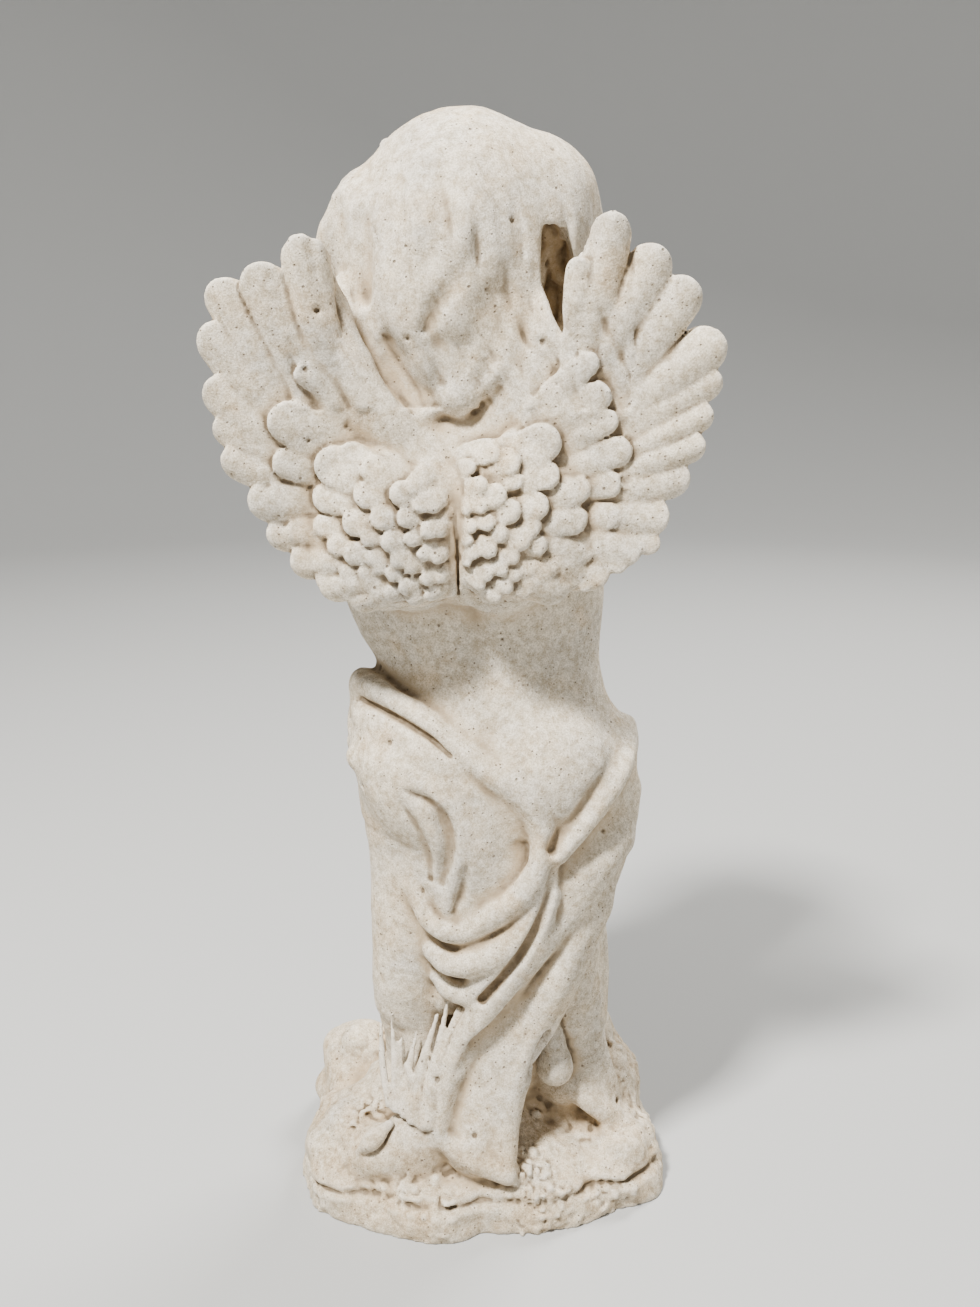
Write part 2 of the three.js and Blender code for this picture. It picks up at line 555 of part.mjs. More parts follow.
function wings(clay) {
  const figure = clay.frame;
  clay.frame = attached(figure, [9, 44, 410], WING_SCALE);
  const thickness = FEATHER_THICKNESS / WING_SCALE;
  for (const wing of WINGS) {
    const [middleX, middleZ] = wing.mound;
    const back = wingFace(wing, middleX, middleZ);
    clay.add(ball([middleX, back - 24, middleZ], [38, 20, 40]), 10);
    clay.add(ball([middleX * 0.6 + 5, back - 30, middleZ + 26], [26, 20, 24]), 10);
    // The solid sheet under the flight feathers stops short of their tips.
    for (const [tipX, tipZ, x, z] of wing.flights) {
      const short = 1 - 13 / hypot(tipX - x, tipZ - z);
      const strip = [-0.3, short / 2, short].map((share) => {
        const [px, pz] = [lerp(x, tipX, share), lerp(z, tipZ, share)];
        return [px, wingFace(wing, px, pz) - thickness * 1.1, pz];
      });
      clay.add(limb(strip, [14, 12, 9], { flat: 0.5 }), 5);
    }
    clay.add(limb(...wing.lead, { flat: 0.72, normal: [-0.25 * wing.side, 1, 0] }), 8);
    wing.flights.forEach((row, i) => {
      const shape = { rise: 2.5 + sin(i * 2.1), crown: 1.8, tilt: 2, thickness };
      clay.add(feather(wing, row, [0.85, 1.1, 0.8], shape), 0.8);
    });
    for (const row of wing.coverts) {
      const size = row[4] / 9;
      const shape = { rise: 2 + 2.4 * size, crown: 0.6 * size, tilt: 0.9 * size, thickness };
      clay.add(feather(wing, row, [0.9, 1.05, 0.95], shape), 0.6);
    }
  }
  clay.frame = figure;
}

function head(clay) {
  const figure = clay.frame;
  clay.frame = attached(figure, [9, 0, 470], HEAD_SCALE);
  face(clay);
  hair(clay);
  clay.frame = figure;
}

// Long soft hair, gathered low on the nape, with curls round the brow.
function hair(clay) {
  clay.add(ball([8, 2, 536], [61, 60, 57]), 6);
  clay.add(ball([54, 0, 536], [25, 38, 42], [0, 8, 0]), 12);
  clay.add(ball([-34, 2, 545], [25, 40, 40], [0, -10, 0]), 12);
  clay.add(limb([[10, 8, 552], [22, 20, 516], [21, 26, 494], [19, 34, 482]], [52, 44, 33, 21]), 8);
  // The lock over the right ear and the deep gap behind it.
  clay.add(limb([[-30, 10, 575], [-47, 8, 545], [-48, 0, 500]], [15, 14, 10]), 6);
  // Soft waves that sweep from the crown down to the left and gather in curls at the nape.
  const waves = [
    [[[25, 50, 572], [29, 57, 544], [37, 52, 518], [42, 44, 494], [33, 44, 470]], [5, 8, 8, 8, 6]],
    [[[5, 52, 571], [8, 59, 543], [19, 56, 521], [31, 50, 502], [26, 49, 477]], [5, 8, 8, 7, 7]],
    [[[-8, 52, 558], [-4, 57, 531], [10, 54, 511], [18, 51, 492], [14, 50, 468]], [5, 8, 7, 7, 6]],
    [[[-14, 50, 548], [-16, 50, 521], [-13, 49, 499], [-4, 50, 480], [10, 51, 467]], [5, 9, 10, 10, 8]],
    [[[-4, 52, 511], [2, 51, 492], [6, 51, 477], [13, 50, 464]], [5, 7, 7, 5]],
    [[[57, 36, 553], [50, 40, 538], [47, 40, 527], [55, 36, 518], [64, 30, 517]], [6, 7, 7, 7, 6]],
    [[[39, 47, 509], [54, 40, 511], [70, 26, 506]], [6, 7, 7]],
    [[[60, 30, 506], [52, 36, 486], [42, 42, 470], [28, 47, 462]], [8, 10, 10, 8]],
    [[[66, 26, 560], [74, 18, 540], [74, 10, 522]], [6, 8, 6]],
  ];
  for (const [points, radii] of waves) clay.add(limb(points, radii, { flat: 0.7 }), 5);
  const hollows = [
    [[[-2, 67, 545], [7, 66, 525], [20, 62, 509], [27, 58, 497]], [1, 3, 3, 1]],
    [[[41, 59, 540], [36, 59, 527], [40, 54, 516]], [1, 2, 1]],
    [[[60, 44, 549], [60, 46, 530], [59, 44, 515]], [3, 4, 4]],
    [[[-10, 60, 502], [-6, 57, 486], [2, 57, 472]], [2, 3, 2]],
    [[[22, 60, 490], [20, 57, 474]], [2, 3]],
    [[[46, 53, 492], [42, 53, 474], [32, 55, 463]], [1, 2, 2]],
  ];
  for (const [points, radii] of hollows) clay.carve(limb(points, radii), 7);
  const gap = [[-27, 42, 538], [-31, 38, 526], [-35, 30, 510]];
  clay.carve(limb(gap, [9, 20, 26], { flat: 0.42, normal: [1, 0.15, 0.1] }), 2);

  // Curls round the brow and cheeks.
  for (let i = 0; i < 9; i++) {
    const a = lerp(-1.9, 1.9, i / 8);
    const at = [9 + 47 * sin(a), -38 - 8 * cos(a), 538 + 32 * cos(a)];
    clay.add(ball(at, [13, 12, 13]), 4);
  }
  for (const side of [1, -1]) {
    const x = 9 + side * 50;
    clay.add(limb([[x, -22, 535], [x + side * 4, -20, 505], [x - side * 8, -12, 484]], [14, 14, 9]), 5);
  }
  clay.add(ball([49, -12, 588], [4, 4, 5]), 3);
}

// The face, in a frame that is bowed and turned a little.
function face(clay) {
  const outer = clay.frame;
  clay.frame = outer
    .clone()
    .multiply(new THREE.Matrix4().makeTranslation(9, -2, 534))
    .multiply(new THREE.Matrix4().makeRotationFromEuler(new THREE.Euler(0.17, 0, -0.1)));
  clay.add(ball([0, -16, -2], [48, 42, 52]), 6);
  clay.add(ball([0, -28, -32], [33, 27, 24]), 12);
  clay.add(ball([0, -46, -42], [12, 11, 10]), 8);
  for (const side of [1, -1]) {
    clay.add(ball([side * 23, -38, -20], [19, 17, 18]), 9);
    clay.carve(ball([side * 19, -60, 2], [11, 8, 8]), 7);
    clay.add(ball([side * 18.5, -46, -1], [10, 9.5, 8.5]), 2);
    clay.add(ball([side * 4.8, -58, -15], [4, 5, 3.6]), 3);
    const brow = [[side * 7, -56, 11], [side * 18, -56, 14], [side * 30, -47, 9]];
    clay.add(limb(brow, [3, 3.5, 2]), 6);
    const lash = [[side * 9.5, -55, -5], [side * 18, -56.5, -8], [side * 27, -52, -5]];
    clay.carve(limb(lash, [1, 1.2, 1]), 1.2);
  }
  clay.add(limb([[0, -54, 6], [0, -58, -4], [0, -62, -13]], [3.5, 4, 5.4]), 4);
  const upperLip = [[-9, -54, -27], [-3, -58, -25], [0, -57.5, -26], [3, -58, -25], [9, -54, -27]];
  clay.add(limb(upperLip, [1.8, 2.6, 2.4, 2.6, 1.8]), 2.5);
  clay.add(limb([[-7, -54, -31.5], [0, -57, -32.5], [7, -54, -31.5]], [2, 3.2, 2]), 2.5);
  clay.carve(limb([[-10, -56, -29], [0, -60.5, -29], [10, -56, -29]], [0.8, 1, 0.8]), 1);
  clay.frame = outer;
}

// A closed surface where the clay's distance is zero. Each grid cell is split into six tetrahedra.
function skin({ field, size, low, cell }) {
  const [nx, ny, nz] = size;
  const step = (bits) => (bits & 1) + ((bits >> 1) & 1) * nx + ((bits >> 2) & 1) * nx * ny;
  const paths = [[1, 3], [1, 5], [2, 3], [2, 6], [4, 5], [4, 6]].map(([a, b]) => [0, a, b, 7]);
  const points = [];
  const faces = [];
  const known = new Map();
  const where = (n) => [n % nx, floor(n / nx) % ny, floor(n / (nx * ny))];
  const crossing = (n, a, b) => {
    const [from, to] = a < b ? [a, b] : [b, a];
    const key = (n + step(from)) * 8 + (to - from);
    if (!known.has(key)) {
      const [p, q] = [n + step(from), n + step(to)];
      const t = clamp(field[p] / (field[p] - field[q]), 0.02, 0.98);
      const [u, v] = [where(p), where(q)];
      known.set(key, points.length / 3);
      for (let i = 0; i < 3; i++) points.push(low[i] + cell * lerp(u[i], v[i], t));
    }
    return known.get(key);
  };
  const flip = ([a, b]) => [b, a];
  for (let k = 0; k < nz - 1; k++)
    for (let j = 0; j < ny - 1; j++)
      for (let i = 0; i < nx - 1; i++) {
        const n = (k * ny + j) * nx + i;
        const first = field[n] < 0;
        let mixed = false;
        for (let c = 1; c < 8 && !mixed; c++) mixed = field[n + step(c)] < 0 !== first;
        if (!mixed) continue;
        paths.forEach((corners, path) => {
          const inside = corners.filter((c) => field[n + step(c)] < 0);
          const outside = corners.filter((c) => field[n + step(c)] >= 0);
          if (!inside.length || !outside.length) return;
          // Whether the corners, inside ones first, make a right-handed tetrahedron.
          const order = [...inside, ...outside].map((c) => corners.indexOf(c));
          let odd = [1, 2, 5].includes(path);
          for (let a = 0; a < 4; a++)
            for (let b = a + 1; b < 4; b++) if (order[a] > order[b]) odd = !odd;
          if (inside.length === 2) {
            const [p, q] = inside;
            const [r, s] = odd ? flip(outside) : outside;
            const quad = [crossing(n, p, r), crossing(n, p, s), crossing(n, q, s), crossing(n, q, r)];
            faces.push(quad[0], quad[1], quad[2], quad[0], quad[2], quad[3]);
          } else {
            const lone = inside.length === 1 ? inside[0] : outside[0];
            let ring = (inside.length === 1 ? outside : inside).map((c) => crossing(n, lone, c));
            if (odd) ring = [ring[0], ring[2], ring[1]];
            faces.push(...ring);
          }
        });
      }
  return { points: Float64Array.from(points), faces: Int32Array.from(faces) };
}

// Joins edges, least error first, until few enough triangles are left (quadric error metrics).
function simplify({ points, faces }, target) {
  const count = points.length / 3;
  const quadrics = new Float64Array(count * 10);
  const around = Array.from({ length: count }, () => new Set());
  const version = new Int32Array(count);
  const alive = new Uint8Array(faces.length / 3).fill(1);
  const corner = (v) => [points[v * 3], points[v * 3 + 1], points[v * 3 + 2]];
  const normal = (a, b, c) => {
    const [ux, uy, uz] = [b[0] - a[0], b[1] - a[1], b[2] - a[2]];
    const [vx, vy, vz] = [c[0] - a[0], c[1] - a[1], c[2] - a[2]];
    return [uy * vz - uz * vy, uz * vx - ux * vz, ux * vy - uy * vx];
  };
  for (let f = 0; f < alive.length; f++) {
    const ids = faces.subarray(f * 3, f * 3 + 3);
    const [a, b, c] = [corner(ids[0]), corner(ids[1]), corner(ids[2])];
    const n = normal(a, b, c);
    const twice = hypot(...n) || 1e-12;
    const [x, y, z] = n.map((v) => v / twice);
    const d = -(x * a[0] + y * a[1] + z * a[2]);
    const terms = [x * x, x * y, x * z, x * d, y * y, y * z, y * d, z * z, z * d, d * d];
    for (const v of ids) {
      around[v].add(f);
      terms.forEach((term, i) => (quadrics[v * 10 + i] += term * twice));
    }
  }
  const near = (v) => {
    const ring = new Set();
    for (const f of around[v]) for (let i = 0; i < 3; i++) ring.add(faces[f * 3 + i]);
    ring.delete(v);
    return ring;
  };
  const error = (q, [x, y, z]) =>
    q[0] * x * x + 2 * q[1] * x * y + 2 * q[2] * x * z + 2 * q[3] * x + q[4] * y * y +
    2 * q[5] * y * z + 2 * q[6] * y + q[7] * z * z + 2 * q[8] * z + q[9];
  const heap = [];
  const push = (item) => {
    let i = heap.push(item) - 1;
    while (i > 0) {
      const up = (i - 1) >> 1;
      if (heap[up].cost <= item.cost) break;
      heap[i] = heap[up];
      i = up;
    }
    heap[i] = item;
  };
  const pop = () => {
    const top = heap[0];
    const last = heap.pop();
    if (!heap.length) return top;
    let i = 0;
    for (;;) {
      let down = i * 2 + 1;
      if (down >= heap.length) break;
      if (down + 1 < heap.length && heap[down + 1].cost < heap[down].cost) down++;
      if (heap[down].cost >= last.cost) break;
      heap[i] = heap[down];
      i = down;
    }
    heap[i] = last;
    return top;
  };
  const offer = (a, b) => {
    const q = Array.from({ length: 10 }, (_, i) => quadrics[a * 10 + i] + quadrics[b * 10 + i]);
    const [p, r] = [corner(a), corner(b)];
    const middle = p.map((v, i) => (v + r[i]) / 2);
    let spot = middle;
    const solve = new THREE.Matrix3().set(q[0], q[1], q[2], q[1], q[4], q[5], q[2], q[5], q[7]);
    const size = (q[0] + q[4] + q[7]) / 3;
    if (abs(solve.determinant()) > 1e-4 * size ** 3) {
      const best = new THREE.Vector3(-q[3], -q[6], -q[8]).applyMatrix3(solve.invert()).toArray();
      const span = hypot(p[0] - r[0], p[1] - r[1], p[2] - r[2]);
      const away = hypot(best[0] - middle[0], best[1] - middle[1], best[2] - middle[2]);
      if (away < span) spot = best;
    }
    push({ cost: error(q, spot), a, b, spot, stamp: version[a] + version[b] });
  };
  const gone = new Uint8Array(count);
  for (let v = 0; v < count; v++) for (const other of near(v)) if (other > v) offer(v, other);
  let left = alive.length;
  while (left > target && heap.length) {
    const { a, b, spot, stamp } = pop();
    if (gone[a] || gone[b] || stamp !== version[a] + version[b]) continue;
    const [ringA, ringB] = [near(a), near(b)];
    let shared = 0;
    for (const v of ringA) if (ringB.has(v)) shared++;
    if (shared !== 2) continue;
    const flips = (from, other) => {
      for (const f of around[from]) {
        const ids = faces.subarray(f * 3, f * 3 + 3);
        if (ids.includes(other)) continue;
        const before = [...ids].map(corner);
        const after = [...ids].map((v) => (v === from ? spot : corner(v)));
        const [m, n] = [normal(...before), normal(...after)];
        const sizes = hypot(...m) * hypot(...n);
        if (m[0] * n[0] + m[1] * n[1] + m[2] * n[2] < 0.25 * sizes || sizes < 1e-9) return true;
      }
      return false;
    };
    if (flips(a, b) || flips(b, a)) continue;
    for (const f of around[b]) {
      const ids = faces.subarray(f * 3, f * 3 + 3);
      if (ids.includes(a)) {
        alive[f] = 0;
        left--;
        for (const v of ids) if (v !== b) around[v].delete(f);
      } else {
        ids[ids.indexOf(b)] = a;
        around[a].add(f);
      }
    }
    around[b].clear();
    gone[b] = 1;
    for (let i = 0; i < 10; i++) quadrics[a * 10 + i] += quadrics[b * 10 + i];
    points.set(spot, a * 3);
    version[a] += version[b] + 1;
    for (const v of near(a)) offer(min(a, v), max(a, v));
  }
  const fresh = new Map();
  const kept = { points: [], faces: [] };
  faces.forEach((v, i) => {
    if (!alive[floor(i / 3)]) return;
    if (!fresh.has(v)) {
      fresh.set(v, fresh.size);
      kept.points.push(...corner(v));
    }
    kept.faces.push(fresh.get(v));
  });
  return kept;
}

// Cuts the rock off flat on the ground.
async function cutFlat({ points, faces }) {
  const wasm = await Module();
  wasm.setup();
  const solid = (positions, corners) =>
    new wasm.Manifold(
      new wasm.Mesh({
        numProp: 3,
        vertProperties: Float32Array.from(positions),
        triVerts: Uint32Array.from(corners),
      }),
    );
  const ground = new THREE.BoxGeometry(BASE_WIDTH * 2, BASE_DEPTH * 2, 60).translate(0, 0, -30);
  ground.deleteAttribute("normal");
  ground.deleteAttribute("uv");
  const slab = mergeVertices(ground);
  const cut = solid(points, faces)
    .subtract(solid(slab.attributes.position.array, slab.index.array))
    .getMesh();
  const geometry = new THREE.BufferGeometry();
  geometry.setAttribute("position", new THREE.BufferAttribute(cut.vertProperties, 3));
  geometry.setIndex(new THREE.BufferAttribute(cut.triVerts, 1));
  geometry.computeVertexNormals();
  return geometry;
}

const stone = new THREE.MeshStandardMaterial({ color: 0xb5a68c, roughness: 0.95, metalness: 0 });

async function statue() {
  const clay = new Clay(
    [-BASE_WIDTH * 0.6, -BASE_DEPTH * 0.6, -CELL],
    [max(BASE_WIDTH, WING_SPAN) * 0.6, BASE_DEPTH * 0.6, BASE_HEIGHT + FIGURE_HEIGHT * 1.02],
    CELL,
  );
  rock(clay);
  const soles = 48;
  const lift = new THREE.Matrix4().makeTranslation(0, 0, BASE_HEIGHT - soles);
  clay.frame = attached(lift, [0, 0, soles], FIGURE_SCALE);
  legs(clay);
  body(clay);
  drapery(clay);
  reeds(clay);
  wings(clay);
  head(clay);
  clay.cutBelow(-CELL);
  const mesh = new THREE.Mesh(await cutFlat(simplify(skin(clay), TRIANGLES)), stone);
  mesh.name = "putto_statue";
  return mesh;
}

const putto = new THREE.Group();
putto.add(await statue());

export default putto;
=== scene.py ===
# The looks of a cast-stone statue: a winged child in a hip cloth, standing on a rough rock.
# The form is worked as clay: a grid of distances, in millimetres, that rounded shapes are added to,
# carved from and pressed into, and that is then skinned with a mesh. The forms repeat the solid's
# own, and the finer carving, the wear and the air holes are added to them here.
import functools
import json
import math

import bpy
import numpy as np
import openvdb
from mathutils import Matrix, Vector

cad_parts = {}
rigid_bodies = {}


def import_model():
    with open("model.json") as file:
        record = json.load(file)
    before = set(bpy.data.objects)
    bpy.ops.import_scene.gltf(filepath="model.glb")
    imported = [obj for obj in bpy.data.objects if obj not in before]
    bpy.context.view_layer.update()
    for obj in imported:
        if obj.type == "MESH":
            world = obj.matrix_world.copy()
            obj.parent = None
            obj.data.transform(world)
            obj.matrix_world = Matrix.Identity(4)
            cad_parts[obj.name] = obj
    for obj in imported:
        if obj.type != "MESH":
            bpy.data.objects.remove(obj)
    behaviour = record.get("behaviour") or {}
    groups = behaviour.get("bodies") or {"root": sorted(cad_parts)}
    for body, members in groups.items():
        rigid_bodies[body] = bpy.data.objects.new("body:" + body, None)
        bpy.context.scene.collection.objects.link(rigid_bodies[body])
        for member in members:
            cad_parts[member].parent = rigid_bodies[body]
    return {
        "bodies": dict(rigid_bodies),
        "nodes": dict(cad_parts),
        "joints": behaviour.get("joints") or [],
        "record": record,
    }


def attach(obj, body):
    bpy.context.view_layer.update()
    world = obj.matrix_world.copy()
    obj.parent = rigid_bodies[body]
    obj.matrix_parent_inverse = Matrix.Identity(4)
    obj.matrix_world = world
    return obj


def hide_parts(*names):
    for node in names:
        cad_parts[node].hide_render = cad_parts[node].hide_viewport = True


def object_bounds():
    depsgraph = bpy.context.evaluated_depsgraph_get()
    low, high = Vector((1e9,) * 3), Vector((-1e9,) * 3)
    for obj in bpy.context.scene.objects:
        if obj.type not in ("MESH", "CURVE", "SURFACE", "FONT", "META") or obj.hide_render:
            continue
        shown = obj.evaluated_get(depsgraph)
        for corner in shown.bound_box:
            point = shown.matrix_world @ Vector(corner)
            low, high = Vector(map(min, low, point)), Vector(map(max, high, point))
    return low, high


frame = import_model()
cad_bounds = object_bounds()

# Driving sizes, in millimetres.
FIGURE_HEIGHT = 552  # soles to crown
HEAD_WIDTH = 142  # over the hair
WING_SPAN = 241  # tip to tip
FEATHER_THICKNESS = 9  # of a flight feather
CLOTH_FOLD = 7  # half the width of a drapery fold
BASE_WIDTH = 222  # of the rock, side to side
BASE_DEPTH = 184  # of the rock, front to back
BASE_HEIGHT = 48  # ground to the soles

# The figure is drawn at these sizes, and each frame below fits it to the driving sizes.
DRAWN_FIGURE, DRAWN_SOLES, DRAWN_HEAD, DRAWN_WINGS = 552, 48, 142, 241

# How finely the surface is cut.
CELL = 1.4
TRIANGLES = 196000

# Pits left in the casting by air: how many, and the smallest and largest, half across.
AIR_HOLES = 170
AIR_HOLE_RADII = 1.0, 2.1

# The sheet under the flight feathers stops this far short of their tips.
TIP_MARGIN = 13

# The stone: its cream and the patches on it, its grains and mottle, and its edges; its dirt with painted
# shade in hollows and crevices, and painted shade in its pits.
PALE_CREAM = (0.70, 0.63, 0.52, 1)
WARM_CREAM = (0.80, 0.71, 0.565, 1)
GREYED = (0.63, 0.59, 0.52, 1)
OCHRE = (0.66, 0.51, 0.33, 1)
EARTH = (0.60, 0.47, 0.31, 1)
DARK_GRAIN, PALE_GRAIN = (0.64, 0.61, 0.56, 1), (1.08, 1.08, 1.08, 1)
DARK_MOTTLE, PALE_MOTTLE = (0.7, 0.655, 0.585, 1), (1.06, 1.06, 1.06, 1)
WORN_EDGE = (0.82, 0.77, 0.67, 1)
DIRT_AND_SHADE_FILM = (0.47, 0.355, 0.22, 1)
DIRT_AND_SHADE_CRUST = (0.12, 0.085, 0.05, 1)
# The colour of the pinholes is painted shade inside them.
PIT_SHADE = (0.16, 0.12, 0.08, 1)

# Knots between two points of a limb, and how square the section of an upright mass is.
KNOTS = 4
SQUARE = 2.3

# The distance of a grid point that no shape is near.
FAR = 1000.0


def lerp(a, b, t):
    return a + (b - a) * t


def clamp(value, low, high):
    return max(low, min(high, value))


# Shapes. Each can be placed in a frame, has a box, and gives the distance to its surface.


class Ball:
    """An ellipsoid about a centre, turned about X, then Y, then Z of its own, in degrees."""

    def __init__(self, centre, radii, turn=(0, 0, 0)):
        self.centre = np.array(centre, float)
        self.radii = np.array([radii] * 3 if np.isscalar(radii) else radii, float)
        x, y, z = (Matrix.Rotation(math.radians(a), 3, axis) for a, axis in zip(turn, "XYZ"))
        self.turn = np.array(x @ y @ z)
        self.turned = any(turn)

    def placed(self, frame):
        ball = Ball((0, 0, 0), self.radii * frame.to_scale().x)
        ball.centre = np.array(frame @ Vector(self.centre))
        ball.turn = np.array(frame.to_3x3().normalized()) @ self.turn
        ball.turned = self.turned or not np.allclose(ball.turn, np.eye(3))
        reach = np.full(3, ball.radii.max()) if ball.turned else ball.radii
        ball.low, ball.high = ball.centre - reach, ball.centre + reach
        return ball

    def at(self, x, y, z, margin):
        offset = x - self.centre[0], y - self.centre[1], z - self.centre[2]
        if self.turned:
            offset = [sum(c * o for c, o in zip(column, offset)) for column in self.turn.T]
        a, b, c = (o / r for o, r in zip(offset, self.radii))
        k = np.sqrt(a * a + b * b + c * c) + 1e-6
        rx, ry, rz = self.radii
        return k * (k - 1) / np.sqrt((a / rx) ** 2 + (b / ry) ** 2 + (c / rz) ** 2 + 1e-12)


class Limb:
    """A tapered tube along a smooth curve through points, flattened along a normal."""

    def __init__(self, points, radii, flat=1.0, normal=(0, 1, 0)):
        self.knots = smooth_line(points, radii)
        self.flat = flat
        self.normal = np.array(Vector(normal).normalized())

    def placed(self, frame):
        limb = Limb.__new__(Limb)
        scale = frame.to_scale().x
        limb.knots = np.array([[*(frame @ Vector(k[:3])), k[3] * scale] for k in self.knots])
        limb.flat = self.flat
        limb.normal = np.array(frame.to_3x3().normalized()) @ self.normal
        reach = limb.knots[:, 3:]
        limb.low = (limb.knots[:, :3] - reach).min(0)
        limb.high = (limb.knots[:, :3] + reach).max(0)
        return limb

    def at(self, x, y, z, margin):
        axes = x.ravel(), y.ravel(), z.ravel()
        best = np.full([len(axis) for axis in axes], FAR, np.float32)
        nx, ny, nz = self.normal
        for a, b in zip(self.knots, self.knots[1:]):
            reach = max(a[3], b[3]) + margin
            low = np.minimum(a, b)[:3] - reach
            high = np.maximum(a, b)[:3] + reach
            cut = tuple(
                slice(*np.searchsorted(axis, (l, h))) for axis, l, h in zip(axes, low, high)
            )
            u, v, w = np.ix_(*(axis[c] - o for axis, c, o in zip(axes, cut, a)))
            dx, dy, dz = b[:3] - a[:3]
            t = np.clip((u * dx + v * dy + w * dz) / (dx * dx + dy * dy + dz * dz), 0, 1)
            u, v, w = u - dx * t, v - dy * t, w - dz * t
            if self.flat < 1:
                off = (u * nx + v * ny + w * nz) * (1 / self.flat - 1)
                u, v, w = u + off * nx, v + off * ny, w + off * nz
            distance = np.sqrt(u * u + v * v + w * w) - lerp(a[3], b[3], t)
            best[cut] = np.minimum(best[cut], distance)
        return best * self.flat


class Stack:
    """An upright mass. Its rows are [height, furthest +X, furthest -X, furthest +Y, furthest -Y]."""

    def __init__(self, rows):
        self.rows = np.array(rows, float)

    def placed(self, frame):
        stack = Stack(self.rows * frame.to_scale().x)
        move = frame.to_translation()
        stack.rows += [move.z, move.x, move.x, move.y, move.y]
        rows = stack.rows
        stack.low = np.array([rows[:, 2].min(), rows[:, 4].min(), rows[0, 0]])
        stack.high = np.array([rows[:, 1].max(), rows[:, 3].max(), rows[-1, 0]])
        return stack

    def at(self, x, y, z, margin):
        edges = np.array([profile(self.rows, height) for height in z.ravel()])
        right, left, rear, front = (edges[:, i][None, None, :] for i in range(1, 5))
        u = x - (right + left) / 2
        v = y - (rear + front) / 2
        inner = np.abs(u) / ((right - left) / 2), np.abs(v) / ((rear - front) / 2)
        q = (inner[0] ** SQUARE + inner[1] ** SQUARE) ** (1 / SQUARE) + 1e-6
        side = np.sqrt(u * u + v * v) * (1 - 1 / q)
        return np.maximum(side * 0.9, np.maximum(z - self.high[2], self.low[2] - z))


def smooth_line(points, radii):
    """Knots [x, y, z, radius] along a centripetal Catmull-Rom curve through the points."""
    p = [Vector(point) for point in points]
    p = [p[0] * 2 - p[1], *p, p[-1] * 2 - p[-2]]
    knots = []
    for i in range(len(points) - 1):
        a, b, c, d = p[i : i + 4]
        before, span, after = ((b - a).length ** 0.5, (c - b).length ** 0.5, (d - c).length ** 0.5)
        leave = ((b - a) / before - (c - a) / (before + span) + (c - b) / span) * span
        arrive = ((c - b) / span - (d - b) / (span + after) + (d - c) / after) * span
        for k in range(KNOTS + (i == len(points) - 2)):
            t = k / KNOTS
            ease = t * t * (3 - 2 * t)
            spot = b + (c - b) * ease + (leave * (1 - t) - arrive * t) * (t * (1 - t))
            knots.append([*spot, lerp(radii[i], radii[i + 1], ease)])
    return np.array(knots)


def profile(rows, z):
    """The rows [z, values...] joined by a smooth curve, at a height z."""
    i = int(np.clip(np.searchsorted(rows[:, 0], z) - 1, 0, len(rows) - 2))
    a, b = rows[i], rows[i + 1]
    before, after = rows[max(i - 1, 0)], rows[min(i + 2, len(rows) - 1)]
    step = b[0] - a[0]
    t = clamp((z - a[0]) / step, 0, 1)
    leave = (b - before) / (b[0] - before[0]) * step
    arrive = (after - a) / (after[0] - a[0]) * step
    return lerp(a, b, t * t * (3 - 2 * t)) + t * (1 - t) * ((1 - t) * leave - t * arrive)


def noise(x, y, z):
    """Smooth noise from -1 to 1 on a lattice of unit cells."""
    i, j, k = np.floor(x), np.floor(y), np.floor(z)
    u, v, w = (f * f * (3 - 2 * f) for f in (x - i, y - j, z - k))

    def corner(a, b, c):
        s = np.sin((i + a) * 12.9898 + (j + b) * 78.233 + (k + c) * 37.719) * 43758.5453
        return (s - np.floor(s)) * 2 - 1

    def sheet(c):
        near = lerp(corner(0, 0, c), corner(1, 0, c), u)
        return lerp(near, lerp(corner(0, 1, c), corner(1, 1, c), u), v)

    return lerp(sheet(0), sheet(1), w)


def smooth_min(a, b, blend):
    """The smaller of two distances, rounded over where they are within the blend."""
    h = np.maximum(blend - np.abs(a - b), 0)
    return np.minimum(a, b) - h * h / (4 * blend)


def attached(figure, joint, scale):
    """The frame of what is attached to the figure at a joint, at its own scale."""
    at = figure @ Vector(joint)
    return Matrix.Translation(at) @ Matrix.Scale(scale, 4) @ Matrix.Translation(-Vector(joint))


